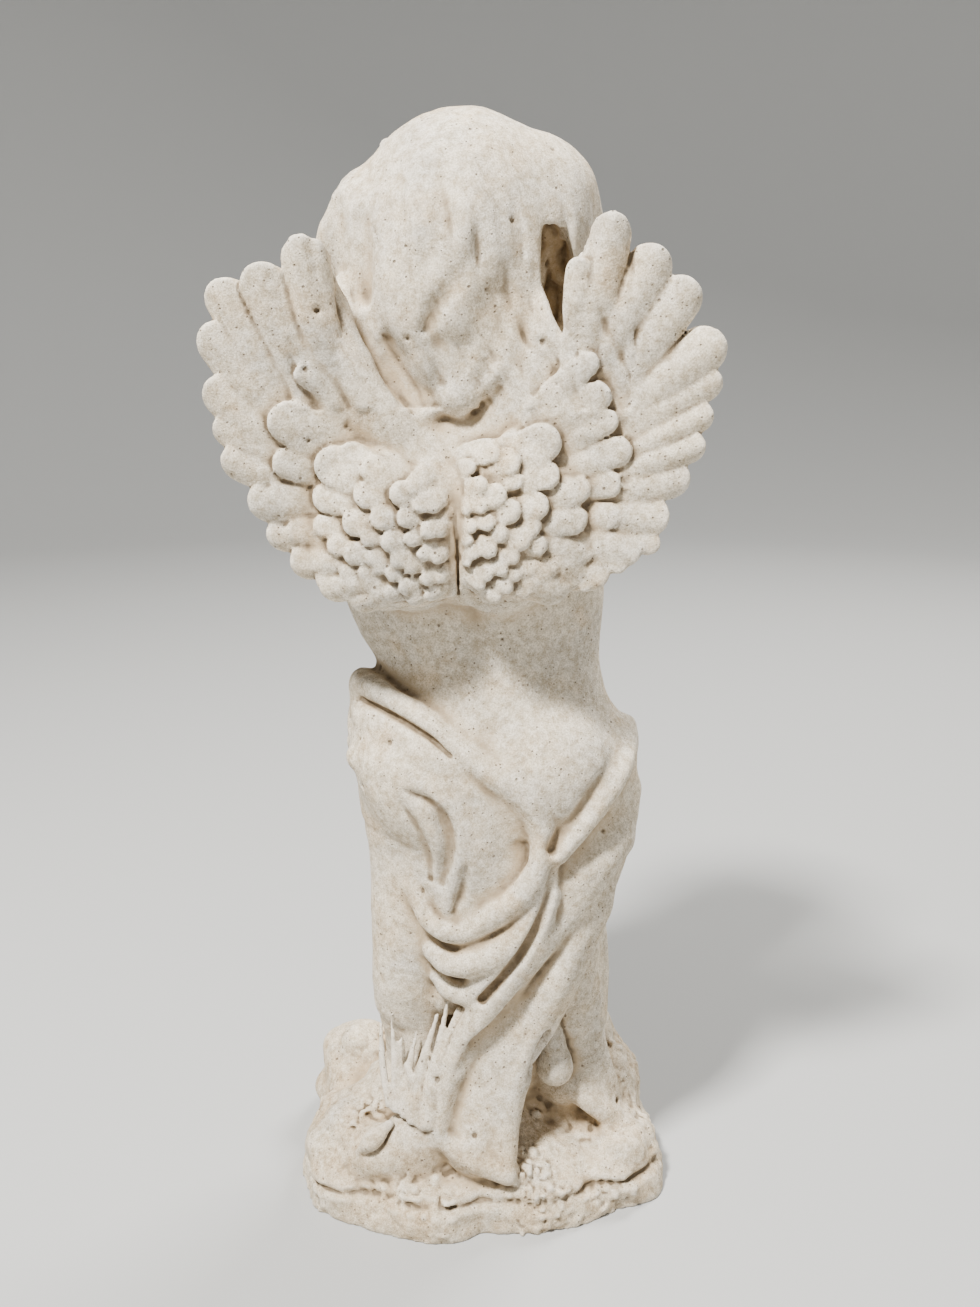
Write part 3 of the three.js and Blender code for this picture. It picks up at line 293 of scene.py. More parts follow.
class Clay:
    """A grid of signed distances that shapes are added to, carved from and pressed into."""

    def __init__(self, low, high, cell):
        self.cell = cell
        self.low = (np.floor(np.array(low) / cell) - 1.5) * cell
        self.field = np.full(
            np.ceil((np.array(high) - self.low) / cell).astype(int) + 3, FAR, np.float32
        )
        self.frame = Matrix.Identity(4)

    def window(self, low, high, margin):
        """The grid points in a box, as slices and as coordinates along each axis."""
        first = np.floor((low - margin - self.low) / self.cell).astype(int)
        last = np.ceil((high + margin - self.low) / self.cell).astype(int) + 1
        spans = [(max(0, a), max(1, min(n, b))) for a, b, n in zip(first, last, self.field.shape)]
        axes = np.ix_(*(self.low[i] + np.arange(*span) * self.cell for i, span in enumerate(spans)))
        return tuple(slice(*span) for span in spans), [axis.astype(np.float32) for axis in axes]

    def add(self, shape, blend):
        shape = shape.placed(self.frame)
        margin = max(blend, self.cell) + self.cell
        cut, axes = self.window(shape.low, shape.high, margin)
        self.field[cut] = smooth_min(self.field[cut], shape.at(*axes, margin), blend)

    def carve(self, shape, blend):
        shape = shape.placed(self.frame)
        margin = blend + self.cell
        cut, axes = self.window(shape.low, shape.high, margin)
        self.field[cut] = -smooth_min(-self.field[cut], shape.at(*axes, margin), blend)

    def swell(self, low, high, height, band=12.0):
        """Moves the surface out by height(x, y, z) inside a box of the clay's frame."""
        corners = [self.frame @ Vector(c) for c in (low, high)]
        cut, axes = self.window(np.array(corners[0]), np.array(corners[1]), 0)
        part = self.field[cut]
        near = np.nonzero(np.abs(part) < band)
        spots = np.stack([axis.ravel()[n] for axis, n in zip(axes, near)]).astype(float)
        back = np.array(self.frame.inverted())
        spots = back[:3, :3] @ spots + back[:3, 3:]
        part[near] -= height(*spots) * self.frame.to_scale().x

    def keep_inside(self, low, high):
        """Cuts away what lies outside a box."""
        for axis, (first, last) in enumerate(zip(low, high)):
            along = self.low[axis] + np.arange(self.field.shape[axis]) * self.cell
            outside = np.maximum(first - along, along - last).astype(np.float32)
            shape = [-1 if i == axis else 1 for i in range(3)]
            self.field = np.maximum(self.field, outside.reshape(shape))

    def sample(self, points, values):
        """A value at each point, between those of the grid."""
        spot = (points - self.low) / self.cell
        spot = np.clip(spot, 0, np.array(self.field.shape) - 1.001)
        i, j, k = np.floor(spot).astype(int).T
        u, v, w = (spot - np.floor(spot)).T

        def row(b, c):
            return lerp(values[i, j + b, k + c], values[i + 1, j + b, k + c], u)

        return lerp(lerp(row(0, 0), row(1, 0), v), lerp(row(0, 1), row(1, 1), v), w)


def rock(clay):
    """Low boulders that the figure stands on, rough on top and split in layers round the rim."""
    w, d, h = BASE_WIDTH / 222, BASE_DEPTH / 184, BASE_HEIGHT / 48
    boulders = [
        (0, -4, 4, 94, 76, 38), (82, -34, 20, 26, 30, 46), (78, 22, 10, 30, 42, 40),
        (52, 12, 26, 30, 30, 42), (30, 48, 2, 56, 36, 32), (-26, 44, 4, 52, 34, 34),
        (-78, 24, 6, 30, 36, 34), (-82, -16, 18, 20, 34, 42), (-66, -44, 26, 24, 26, 46),
        (10, -56, 10, 74, 30, 32), (-56, -6, 20, 32, 38, 34), (2, 4, 20, 60, 44, 36),
    ]
    for x, y, z, rx, ry, rz in boulders:
        clay.add(Ball((x * w, y * d, z * h), (rx * w, ry * d, rz * h)), 12)
    x, y, z = BASE_WIDTH * 0.6, BASE_DEPTH * 0.62, BASE_HEIGHT * 1.8

    def rough(px, py, pz):
        lumps = 4 * noise(px / 21, py / 21, pz / 17) + 1.6 * noise(px / 10, py / 10, pz / 10)
        crumbled = np.clip(noise(px / 26 + 7, py / 26, pz / 26) * 2.5 + 0.4, 0, 1)
        crumbs = crumbled * (2.4 * np.abs(noise(px / 5.5, py / 5.5, pz / 5.5)) - 0.7)
        crumbs += (0.25 + crumbled) * 0.7 * noise(px / 2.8, py / 2.8, pz / 2.8)
        for cx, cy, reach in ((68, 42, 17), (40, 64, 18), (-22, 62, 16), (-34, 70, 12)):
            heap = np.exp(-((px - cx) ** 2 + (py - cy) ** 2) / reach**2)
            crumbs += heap * 5 * np.abs(noise(px / 3.8 + 9, py / 3.8, pz / 3.8))
        layer = pz / h + 5 * noise(px / 40, py / 40, np.full_like(pz, 3))
        split = np.maximum(0, 1 - np.abs(layer - 15) / 3.5) * 3
        return (lumps + crumbs - split) * np.clip((z - pz) / 20, 0, 1)

    clay.swell((-x, -y, -8), (x, y, z), rough)


def lay(work, rows, blend, width=1, flat=1.0):
    """Adds or carves a limb for each row of (points, radii)."""
    for points, radii in rows:
        work(Limb(points, [r * width for r in radii], flat), blend)


def legs(clay):
    """Legs and feet, bare from the calf down, and what shows of the ground between them."""
    clay.add(Ball((0, 2, 78), (42, 30, 58)), 8)
    sides = [
        ((34, 10, 262), (38, 14, 190), (42, 20, 132), (46, 12, 80), 1),
        ((-36, 6, 262), (-38, 4, 190), (-48, 9, 116), (-49, 12, 78), -1),
    ]
    for hip, knee, calf, ankle, side in sides:
        clay.add(Limb([hip, knee, calf, ankle], [36, 27, 23, 13]), 8)
        x, y, _ = ankle
        clay.add(Ball((x, y + 4, 62), (12.5, 15, 13)), 6)
        foot = [(x, y, 64), (x + 3 * side, y - 30, 58), (x + 5 * side, y - 50, 53)]
        clay.add(Limb(foot, [12, 12, 11]), 6)
        for i in range(5):
            across = x + side * (5 + (i - 2) * 6.2)
            size = 5 if i == 0 else 4.2 - i * 0.25
            clay.add(Ball((across, y - 62 + i * 2.2, 51), (size, size * 1.5, size)), 2)


def body(clay):
    """Trunk, neck, arms and praying hands."""
    trunk = [
        (236, 67, -79, 50, -46), (262, 68, -77, 52, -48), (285, 66, -73, 48, -50),
        (318, 60, -66, 41, -50), (336, 69, -66, 41, -50), (356, 76, -67, 43, -48),
        (380, 77, -65, 45, -46), (404, 74, -60, 45, -42), (424, 60, -46, 41, -36),
        (440, 38, -22, 32, -28),
    ]
    clay.add(Stack(trunk), 10)
    clay.add(Ball((-2, -26, 318), (50, 36, 42)), 14)
    clay.add(Ball((9, 20, 438), (44, 28, 30)), 12)
    clay.add(Ball((9, 28, 440), (26, 24, 26)), 10)
    clay.add(Ball((-34, 30, 262), (38, 28, 36)), 12)
    clay.add(Ball((28, 30, 262), (36, 26, 34)), 12)
    clay.add(Limb([(9, 2, 420), (9, 0, 482)], [33, 29]), 10)
    clay.carve(Limb([(10, 50, 420), (4, 47, 350), (-4, 54, 292)], [3, 3, 3]), 10)
    # The navel.
    clay.carve(Ball((0, -64, 306), (4, 6, 3)), 3)
    for side in (1, -1):
        shoulder = (62 if side > 0 else -46, -6, 410)
        elbow = (66 if side > 0 else -56, -46, 366)
        palm = 6 + side * 6.5
        clay.add(Ball((shoulder[0], -4, 410), (23, 24, 24)), 12)
        clay.add(Limb([shoulder, elbow], [21, 18]), 8)
        wrist = (palm, -76, 420)
        clay.add(Limb([elbow, (lerp(elbow[0], palm, 0.55), -70, 388), wrist], [18, 15, 10.5]), 7)
        clay.add(Ball((palm, -78, 430), (6.5, 12, 15)), 4)
        for i in range(4):
            y = -86 + i * 5
            tip = (palm - side, y + 1, 462 - abs(i - 1.4) * 3)
            clay.add(Limb([(palm, y, 436), tip], [3.6, 3]), 1.5)
        clay.add(Limb([(palm + side * 2, -68, 428), (palm + side, -66, 448)], [4.4, 3.4]), 2)
        clay.add(Ball((6 + side * 26, -40, 388), (26, 14, 20)), 12)


def drapery(clay):
    """Cloth wound round the hips, with hanging folds and a long tail behind and a skirt in front."""
    fold = CLOTH_FOLD / 7
    # The skirt round the front and sides.
    skirt = [
        (92, 40, -58, 6, -44), (130, 50, -60, 14, -46), (170, 58, -70, 26, -50),
        (210, 61, -79, 44, -52), (250, 64, -81, 50, -53), (276, 60, -78, 40, -52),
    ]
    clay.add(Stack(skirt), 8)
    # The wrap over the left hip and the seat, and the cloth that crosses from the right hip.
    clay.add(Limb([(55, 8, 292), (42, 28, 268), (14, 34, 236), (-6, 32, 214)], [20, 25, 27, 24]), 10)
    clay.add(Limb([(-62, 2, 266), (-56, 8, 220), (-40, 14, 180), (-24, 18, 140)], [26, 30, 32, 28]), 12)
    clay.add(Ball((-40, 26, 208), (30, 24, 36)), 10)
    clay.add(Ball((8, 22, 208), (35, 35, 42), (0, -14, 0)), 10)
    clay.add(Ball((0, 21, 172), (35, 34, 42), (0, -18, 0)), 10)
    # Folds behind, from the left hip to the crossing, and the rims that hang one below the other.
    folds = [
        ([(66, 15, 309), (50, 35, 307), (32, 45, 298), (14, 50, 283), (-5, 53, 270), (-23, 56, 256),
          (-33, 56, 239)], [7, 6, 6, 6, 5.5, 5, 4]),
        ([(64, 23, 294), (45, 40, 290), (29, 47, 280), (13, 50, 266), (1, 50, 249), (-3, 51, 229)],
         [7, 8, 8, 7, 6, 5]),
        ([(69, 28, 271), (49, 44, 271), (32, 50, 264), (19, 52, 251), (13, 53, 234), (13, 51, 212),
          (18, 50, 192)], [6, 6, 6, 6, 6, 5, 4]),
        ([(38, 41, 198), (31, 49, 184), (21, 53, 178), (10, 53, 178), (-8, 57, 191), (-24, 59, 207),
          (-31, 57, 222), (-31, 54, 236), (-28, 52, 252)], [4, 5, 6, 6, 7, 7, 6, 5, 4]),
        ([(27, 47, 162), (18, 53, 158), (5, 55, 160), (-10, 57, 169), (-25, 57, 184), (-33, 55, 199),
          (-37, 53, 218)], [6, 7, 8, 8, 8, 7, 4]),
        ([(24, 44, 144), (19, 48, 140), (8, 51, 139), (-3, 54, 150), (-17, 56, 164), (-30, 56, 180),
          (-37, 54, 199)], [5, 6, 7, 7, 7, 6, 4]),
        # The roll round the right hip and the swell of cloth below it.
        ([(-82, 0, 280), (-81, 18, 272), (-73, 36, 261), (-63, 46, 250), (-52, 51, 237), (-42, 54, 225)],
         [5, 5.5, 6, 6, 5.5, 5]),
        ([(-81, 10, 245), (-75, 24, 228), (-65, 35, 216), (-51, 43, 207), (-43, 44, 194)],
         [9, 10, 10, 9, 7]),
    ]
    lay(clay.add, folds, 6, fold)
    # The tail: a broad band that comes round from the right hip, with a ridge along each side.
    band = [(-50, 30, 186), (-30, 38, 146), (-12, 42, 108), (0, 48, 76), (4, 60, 48)]
    clay.add(Limb(band, [24, 26, 25, 24, 20], flat=0.5, normal=(0.1, 1, 0.25)), 6)
    tail = [
        ([(-76, 26, 221), (-60, 38, 205), (-44, 44, 184), (-26, 52, 165), (-10, 53, 143), (3, 53, 122),
          (14, 53, 102), (21, 56, 83), (26, 63, 58)], [9, 10, 10, 10, 10, 9, 8, 7, 5]),
        ([(-60, 34, 188), (-50, 43, 166), (-40, 48, 144), (-31, 48, 120), (-22, 50, 99), (-14, 58, 68),
          (-14, 70, 38)], [4, 8, 10, 9, 8, 7, 5]),
        ([(-14, 50, 92), (-4, 57, 68), (6, 65, 50)], [4, 5, 4]),
        ([(24, 64, 52), (4, 70, 42), (-14, 72, 34)], [4, 5, 4]),
    ]
    lay(clay.add, tail, 6, fold)
    # The valleys between the folds, and the deep ones where cloth lies over cloth or skin.
    valleys = [
        ([(66, 24, 303), (45, 44, 298), (28, 51, 290), (17, 54, 281)], [0.5, 1.5, 1.5, 0.5]),
        ([(41, 57, 262), (27, 59, 256), (20, 60, 245), (18, 59, 228), (23, 54, 208)], [0.5, 2, 4, 4, 3]),
        ([(44, 57, 256), (36, 57, 240), (31, 53, 221), (29, 50, 208)], [1, 3, 4, 2]),
        ([(9, 60, 219), (12, 57, 202), (16, 54, 190)], [1, 3, 1]),
        ([(31, 52, 174), (21, 60, 171), (10, 61, 172), (-8, 65, 182), (-23, 66, 195)], [1, 1.5, 2, 1.5, 1]),
        ([(29, 50, 151), (15, 60, 150), (2, 63, 152), (-12, 65, 161), (-25, 64, 174)], [1, 1.5, 2, 1.5, 1]),
        ([(-39, 60, 216), (-34, 61, 197), (-27, 62, 180), (-14, 61, 158), (0, 58, 139)],
         [2.5, 3, 3, 3, 3]),
        ([(-28, 60, 152), (-12, 57, 128), (2, 58, 113), (12, 62, 95)], [2, 4, 5, 3]),
        ([(-24, 57, 116), (-14, 61, 94), (-3, 66, 74)], [1, 3, 3]),
        ([(-79, 30, 282), (-71, 43, 272), (-61, 51, 262), (-52, 55, 249), (-44, 57, 238), (-38, 58, 229)],
         [3, 3.5, 3.5, 3.5, 3.5, 3.5]),
        ([(-71, 40, 241), (-58, 49, 228), (-45, 54, 216)], [2, 3, 2]),
    ]
    lay(clay.carve, valleys, 3.5, fold)
    # Rolled knots on the left hip.
    clay.add(Ball((66, 4, 304), (9, 13, 11), (0, 20, 0)), 4)
    clay.add(Limb([(70, 0, 290), (69, 12, 280), (60, 26, 270)], [6, 7, 6]), 4)
    clay.add(Ball((71, -2, 270), (7, 12, 8)), 4)
    # Cloth that falls outside the right leg and spreads to a point beside the heel.
    clay.add(Limb([(-46, 2, 150), (-48, 4, 100), (-50, 6, 60)], [20, 19, 21]), 8)
    clay.add(Limb([(-66, -4, 160), (-68, 0, 130), (-66, 4, 100)], [7, 8, 9]), 5)
    flare = [(-58, 8, 130), (-62, 14, 92), (-70, 18, 58), (-80, 16, 36)]
    clay.add(Limb(flare, [10, 11, 12, 7], flat=0.75, normal=(-0.5, 1, 0.2)), 7)
    hem = [(-54, 28, 62), (-64, 31, 52), (-74, 30, 45), (-84, 22, 36)]
    clay.add(Limb(hem, [4, 5, 5, 4]), 9)
    # The hollow beside the right heel, and the heel.
    clay.carve(Limb([(-38, 48, 137), (-34, 50, 115), (-30, 52, 90)], [2, 4, 5]), 4)
    clay.add(Limb([(-40, 32, 112), (-41, 33, 92), (-42, 34, 80)], [4, 8, 11]), 2.5)
    # Swags under the belly, and long folds down to the hem.
    front = [
        ([(66, -14, 300), (36, -46, 286), (-4, -56, 272), (-46, -48, 276), (-72, -16, 278)],
         [6, 7, 7, 7, 6]),
        ([(66, -18, 280), (36, -48, 256), (0, -56, 244), (-44, -50, 256), (-80, -16, 268)],
         [5, 6, 6, 6, 5]),
        ([(66, -20, 262), (40, -48, 226), (8, -56, 204), (-30, -54, 208), (-70, -34, 236)],
         [5, 6, 6, 6, 5]),
    ]
    lay(clay.add, front, 7, fold)
    # Broad folds that fan out and fall from the swags to the hem.
    falls = [
        ([(56, -24, 228), (52, -34, 190), (48, -34, 150), (46, -30, 112), (47, -30, 92)],
         [7, 9, 9, 9, 10]),
        ([(38, -44, 222), (34, -42, 186), (28, -42, 150), (26, -39, 114), (27, -38, 92)],
         [6, 8, 9, 9, 10]),
        ([(12, -48, 204), (10, -44, 176), (5, -43, 146), (5, -41, 114), (7, -40, 92)],
         [5, 7, 8, 9, 9]),
        ([(-18, -47, 204), (-16, -44, 172), (-15, -43, 142), (-14, -41, 114), (-14, -40, 92)],
         [5, 7, 8, 9, 9]),
        ([(-46, -42, 214), (-40, -40, 178), (-36, -41, 146), (-35, -39, 114), (-35, -38, 92)],
         [6, 8, 9, 9, 9]),
        ([(-72, -20, 226), (-64, -26, 184), (-56, -30, 146), (-53, -30, 114), (-54, -28, 92)],
         [6, 9, 9, 9, 9]),
    ]
    lay(clay.add, falls, 5, fold)


def reeds(clay):
    """Reeds and a broken leaf between the left leg and the tail of the cloth."""
    clay.add(Limb([(32, 24, 122), (36, 29, 94), (40, 34, 60)], [12, 11, 13]), 6)
    clay.add(Ball((40, 54, 42), (19, 15, 22)), 6)
    clay.add(Ball((20, 33, 128), (13, 9, 13)), 4)
    # A bundle of stalks that leans against the tail, and thinner blades beside the leg:
    # (foot x, foot y, foot z, head x, head y, head z, thickness) of each.
    stems = [
        (45, 60, 66, 29, 44, 110, 2.6), (41, 62, 64, 26, 45, 121, 3.2), (37, 63, 63, 20, 47, 131, 2.8),
        (34, 64, 62, 14, 49, 127, 3.4), (31, 64, 63, 9, 49, 132, 2.6), (27, 63, 66, 6, 50, 125, 3.0),
        (54, 56, 70, 59, 38, 112, 2.4), (51, 57, 68, 53, 40, 118, 2.2), (49, 58, 68, 47, 42, 105, 2.6),
        (46, 58, 68, 38, 42, 109, 2.4),
    ]
    for i, (*foot, x, y, z, thick) in enumerate(stems):
        middle = ((foot[0] + x) / 2 + 1.5 * math.sin(i * 2.4), (foot[1] + y) / 2 - 1, (foot[2] + z) / 2)
        clay.add(Limb([(x, y, z), middle, foot], [thick * 0.4, thick, thick * 0.9], flat=0.8), 1.2)
    clay.add(Limb([(30, 60, 82), (31, 66, 64)], [3, 3.6], flat=0.7), 1.5)
    clay.add(Limb([(44, 50, 92), (36, 58, 78), (27, 64, 62)], [1.6, 2.6, 2.2], flat=0.8), 1.2)
    # A broken leaf on the rock.
    clay.add(Ball((60, 52, 36), (18, 15, 14)), 8)
    leaf = [(72, 61, 42), (63, 64, 52), (53, 61, 61)]
    clay.add(Limb(leaf, [2, 5.5, 2.5], flat=0.5, normal=(-0.5, 0.9, 0.6)), 1.5)


# Each wing as seen from behind. Its feathers are (tip x, tip z, root x, root z, half width), and each
# lies over the next one of its row. The lead is the smooth band along the wing's inner edge, and
# the mound is where the wing stands out furthest.
WINGS = [
    dict(
        side=1,
        flights=[
            (83, 540, 72, 458, 12.5), (105, 527, 78, 458, 12.5), (123, 520, 86, 446, 11.7),
            (129, 500, 86, 438, 12.5), (129, 475, 86, 428, 12.5), (127.5, 456, 84, 426, 10.2),
            (125, 440, 84, 422, 11.6), (114, 419, 80, 413, 12.5), (106, 401, 74, 400, 11.1),
            (95, 386, 60, 388, 10.9), (81, 373, 50, 380, 10.3), (66, 366, 40, 376, 9.6),
        ],
        coverts=[
            (89, 480, 67, 467, 7.5), (101, 460, 65, 438, 11.9), (101, 437, 65, 429, 9.6),
            (105, 419, 72, 418, 9.0), (96, 402, 67, 402, 8.0), (95, 388, 57, 389, 8.4),
            (83, 377, 56, 380, 7.0), (71, 371, 49, 375, 6.2), (81, 436, 48, 428, 11.6),
            (83, 419, 53, 418, 9.0), (83, 405, 61, 405, 7.2), (76, 395, 58, 398, 7.0),
            (70, 382, 49, 383, 6.0), (69, 442, 44, 426, 8.6), (57, 437, 38, 421, 8.0),
            (62, 421, 40, 420, 8.0), (68, 407, 45, 408, 8.0), (68, 392, 45, 393, 7.4),
            (60, 376, 42, 379, 6.0), (44, 424, 27, 415, 7.2), (54, 409, 36, 412, 7.0),
            (59, 400, 43, 401, 5.6), (57, 389, 41, 392, 5.4), (61, 382, 44, 385, 5.5),
            (54, 385, 38, 388, 5.0), (41, 409, 27, 412, 6.0), (49, 397, 32, 400, 6.8),
            (47, 381, 34, 385, 5.4), (45, 389, 29, 392, 6.3), (49, 371, 33, 374, 5.4),
            (56, 369, 40, 372, 4.6), (37, 398, 25, 404, 5.2), (41, 374, 25, 379, 5.9),
            (38, 384, 25, 389, 4.8), (37, 367, 24, 374, 4.8), (32, 413, 22, 425, 5.6),
            (29, 401, 17, 410, 5.4), (31, 390, 19, 398, 4.6), (30, 377, 18, 385, 4.8),
            (28, 369, 15, 377, 4.4), (24, 387, 15, 397, 4.2), (22, 377, 12, 387, 3.8),
            (26, 412, 14, 425, 4.2), (22, 400, 13, 414, 3.8), (37, 422, 25, 432, 4.8),
        ],
        lead=([(20, 40, 412), (31, 46, 433), (46, 52, 455), (60, 55, 478), (71, 55, 502), (77, 53, 522)],
              [14, 14, 14, 12, 9, 5]),
        mound=(40, 398),
    ),
    dict(
        side=-1,
        flights=[
            (-46, 531, -42, 486, 8), (-62, 549, -42, 470, 11.5), (-82, 535, -48, 465, 12.5),
            (-98, 520, -54, 458, 12.5), (-113, 495, -56, 450, 12.5), (-113, 477, -56, 444, 9.9),
            (-110, 461, -56, 434, 9.2), (-107, 446, -54, 426, 9.4), (-101, 430, -52, 418, 11.6),
            (-92, 409, -46, 410, 12.5), (-79, 391, -40, 402, 12.5), (-63, 377, -28, 394, 12.5),
            (-42, 369, -18, 386, 12.5),
        ],
        coverts=[
            (-55, 487, -25, 457, 8.0), (-62, 471, -24, 448, 9.4), (-65, 458, -25, 438, 8.0),
            (-72, 443, -23, 427, 8.8), (-68, 425, -38, 424, 8.4), (-68, 409, -39, 410, 8.4),
            (-88, 394, -33, 414, 7.6), (-72, 383, -36, 405, 7.4), (-56, 374, -27, 390, 7.0),
            (-37, 450, -11, 432, 11.2), (-38, 430, -9, 429, 8.4), (-53, 422, -26, 422, 8.6),
            (-52, 407, -22, 410, 8.6), (-55, 389, -22, 406, 7.4), (-37, 382, -16, 394, 6.0),
            (-33, 415, -12, 415, 7.8), (-32, 395, -14, 399, 6.4), (-19, 436, -2, 436, 7.2),
            (-24, 397, -7, 406, 7.4), (-12, 422, 6, 416, 6.8), (-19, 413, -2, 412, 7.2),
            (-29, 404, -15, 409, 6.4), (-13, 402, 0, 402, 5.8), (-19, 390, -2, 394, 5.8),
            (-7, 392, 6, 400, 5.4), (-6, 406, 7, 411, 5.2), (-13, 383, 3, 390, 4.9),
            (-19, 380, -6, 385, 4.6), (-5, 380, 7, 385, 4.6), (1, 391, 11, 395, 4.4),
            (-25, 371, -12, 376, 4.6), (-15, 373, -2, 382, 4.6), (-9, 367, 3, 379, 4.6),
            (-1, 374, 8, 383, 4.4), (3, 403, 13, 410, 4.4), (-3, 414, 10, 419, 5.2),
            (7, 385, 12, 397, 3.8), (-27, 383, -11, 391, 5.4), (-46, 373, -23, 385, 5.2),
            (-36, 367, -16, 379, 4.8), (-20, 427, -4, 427, 5.4), (-3, 426, 11, 422, 5.0),
            (6, 411, 14, 421, 4.2), (6, 396, 14, 408, 4.2), (3, 435, 13, 430, 4.6),
            (-9, 441, 7, 437, 5.2),
        ],
        lead=([(7, 38, 420), (-6, 41, 444), (-20, 44, 468), (-31, 47, 492), (-36, 47, 512)],
              [13, 15, 17, 15, 8]),
        mound=(-8, 398),
    ),
]


def wing_face(wing, x, z):
    """How far back the wing's face lies: low over the flight feathers, and a mound at the root."""
    mound = np.hypot(x - wing["mound"][0], (z - wing["mound"][1]) * 0.9) / 46
    sweep = np.hypot(x - 9, z - 400) / 150
    crease = np.exp(-(((x - 12.5) / 2.8) ** 2)) * np.clip((440 - z) / 25, 0, 1)
    return 52 + 14 * sweep + 15 * np.maximum(0, 1 - mound * mound) - 10 * crease


class Feather:
    """A rounded plate over a wing's face, from its root to its tip, as seen from behind.

    It rises from the root to the tip and towards the side where it overlaps the next feather.
    """

    def __init__(self, face, row, side, outline, rise, crown, tilt, thickness):
        self.face, self.outline = face, outline
        self.tip, self.root, self.half = np.array(row[:2], float), np.array(row[2:4], float), row[4]
        self.way = self.tip - self.root
        self.tip -= self.way / np.linalg.norm(self.way) * self.half * outline[-1]
        self.way = self.tip - self.root
        self.length = np.linalg.norm(self.way)
        self.over = side * np.array((self.way[1], -self.way[0])) / self.length
        self.rise, self.crown, self.tilt, self.thickness = rise, crown, tilt, thickness

    def placed(self, frame):
        self.frame = frame
        ends = np.array([self.tip, self.root])
        levels = [self.face(*end) for end in ends]
        reach = self.half * max(self.outline)
        low = (*(ends.min(0) - reach), min(levels) - self.thickness - 3)
        high = (*(ends.max(0) + reach), max(levels) + 8)
        self.low, self.high = (np.array(frame @ Vector((x, y, z))) for x, z, y in (low, high))
        return self

    def at(self, x, y, z, margin):
        scale, move = self.frame.to_scale().x, self.frame.to_translation()
        x, y, z = ((axis - shift) / scale for axis, shift in zip((x, y, z), move))
        u, w = x - self.root[0], z - self.root[1]
        share = (u * self.way[0] + w * self.way[1]) / self.length**2
        along = np.clip(share, 0, 1)
        half = self.half * np.interp(along, (0, 0.6, 1), self.outline)
        outline = np.hypot(u - self.way[0] * along, w - self.way[1] * along) - half
        across = (u * self.over[0] + w * self.over[1]) / self.half
        crown = self.crown * (1 - across * across) * np.clip(0.25 + share * 1.2, 0.25, 1)
        over = self.face(x, z) + self.rise * np.clip(share, 0, 1.2) + crown + self.tilt * across
        rounding = min(1.2, self.half * 0.18)
        a, b = outline + rounding, y - over + rounding
        plate = np.hypot(np.maximum(a, 0), np.maximum(b, 0)) - rounding
        plate = plate + np.minimum(np.maximum(a, b), 0)
        return np.maximum(plate, over - self.thickness - y) * scale


def vane(row, shares):
    """Points (x, z) along a feather, at shares of the way from its root to its tip."""
    tip_x, tip_z, x, z = row[:4]
    return [(lerp(x, tip_x, share), lerp(z, tip_z, share)) for share in shares]


def wing_body(clay, wing, lie):
    """The mound at the root, the sheet under the flight feathers, its front strokes and the lead."""
    x, z = wing["mound"]
    clay.add(Ball((x, lie(x, z) - 24, z), (38, 20, 40)), 10)
    clay.add(Ball((x * 0.6 + 5, lie(x, z) - 30, z + 26), (26, 20, 24)), 10)
    depth = FEATHER_THICKNESS * 1.1
    for row in wing["flights"]:
        short = 1 - TIP_MARGIN / math.hypot(row[0] - row[2], row[1] - row[3])
        strip = [(px, lie(px, pz) - depth, pz) for px, pz in vane(row, (-0.3, short / 2, short))]
        clay.add(Limb(strip, [14, 12, 9], flat=0.5), 5)
    # Broad feather strokes on the front.
    shares = 0.2, 0.55, 0.95
    for row, below in zip(wing["flights"], wing["flights"][1:]):
        groove = []
        for share, (ax, az), (bx, bz) in zip(shares, vane(row, shares), vane(below, shares)):
            px, pz = (ax + bx) / 2, (az + bz) / 2
            groove.append((px, lie(px, pz) - depth - lerp(7.5, 4.5, share), pz))
        clay.carve(Limb(groove, [1.5, 2.5, 2]), 2)
    clay.add(Limb(*wing["lead"], flat=0.72, normal=(-0.25 * wing["side"], 1, 0)), 8)


def wing_feathers(clay, wing, lie):
    """The flight feathers, and the rows of scales on beds of their own."""
    side, thick = wing["side"], FEATHER_THICKNESS
    for i, row in enumerate(wing["flights"]):
        rise = 1 + 0.8 * math.sin(i * 2.1)
        clay.add(Feather(lie, row, side, (0.6, 0.92, 0.88), rise, 5.5, 1.2, thick), 0.8)
    for row in wing["coverts"]:
        half = row[4]
        short = 1 - (half + 2) / math.hypot(row[0] - row[2], row[1] - row[3])
        shares = 0, short / 2, short
        bed = [(px, lie(px, pz) - half * 0.3 - 2.5, pz) for px, pz in vane(row, shares)]
        clay.add(Limb(bed, [half + 2] * 3, flat=0.4), 0.8)
    for row in wing["coverts"]:
        size = row[4] / 9
        rise, crown, tilt = 2.6 + 2.1 * size, 1.9 * size, 0.9 * size
        covert = Feather(lie, row, side, (0.85, 0.98, 0.86), rise, crown, tilt, thick * 0.7)
        clay.add(covert, 0.6)


def wings(clay):
    """Two spread wings that meet in a crease over the spine."""
    figure = clay.frame
    clay.frame = attached(figure, (9, 44, 410), WING_SPAN / DRAWN_WINGS)
    for wing in WINGS:
        lie = functools.partial(wing_face, wing)
        wing_body(clay, wing, lie)
        wing_feathers(clay, wing, lie)
    crease = [(13, 66, 428), (13, 64, 408), (12, 62, 386), (12, 57, 366)]
    clay.carve(Limb(crease, [0.8, 1.8, 2, 1.6], flat=0.5, normal=(1, 0, 0)), 1.5)
    clay.frame = figure


def head(clay):
    """The bowed head: face and hair, at the head's own scale."""
    figure = clay.frame
    clay.frame = attached(figure, (9, 0, 470), HEAD_WIDTH / DRAWN_HEAD)
    face(clay)
    hair(clay)
    clay.frame = figure


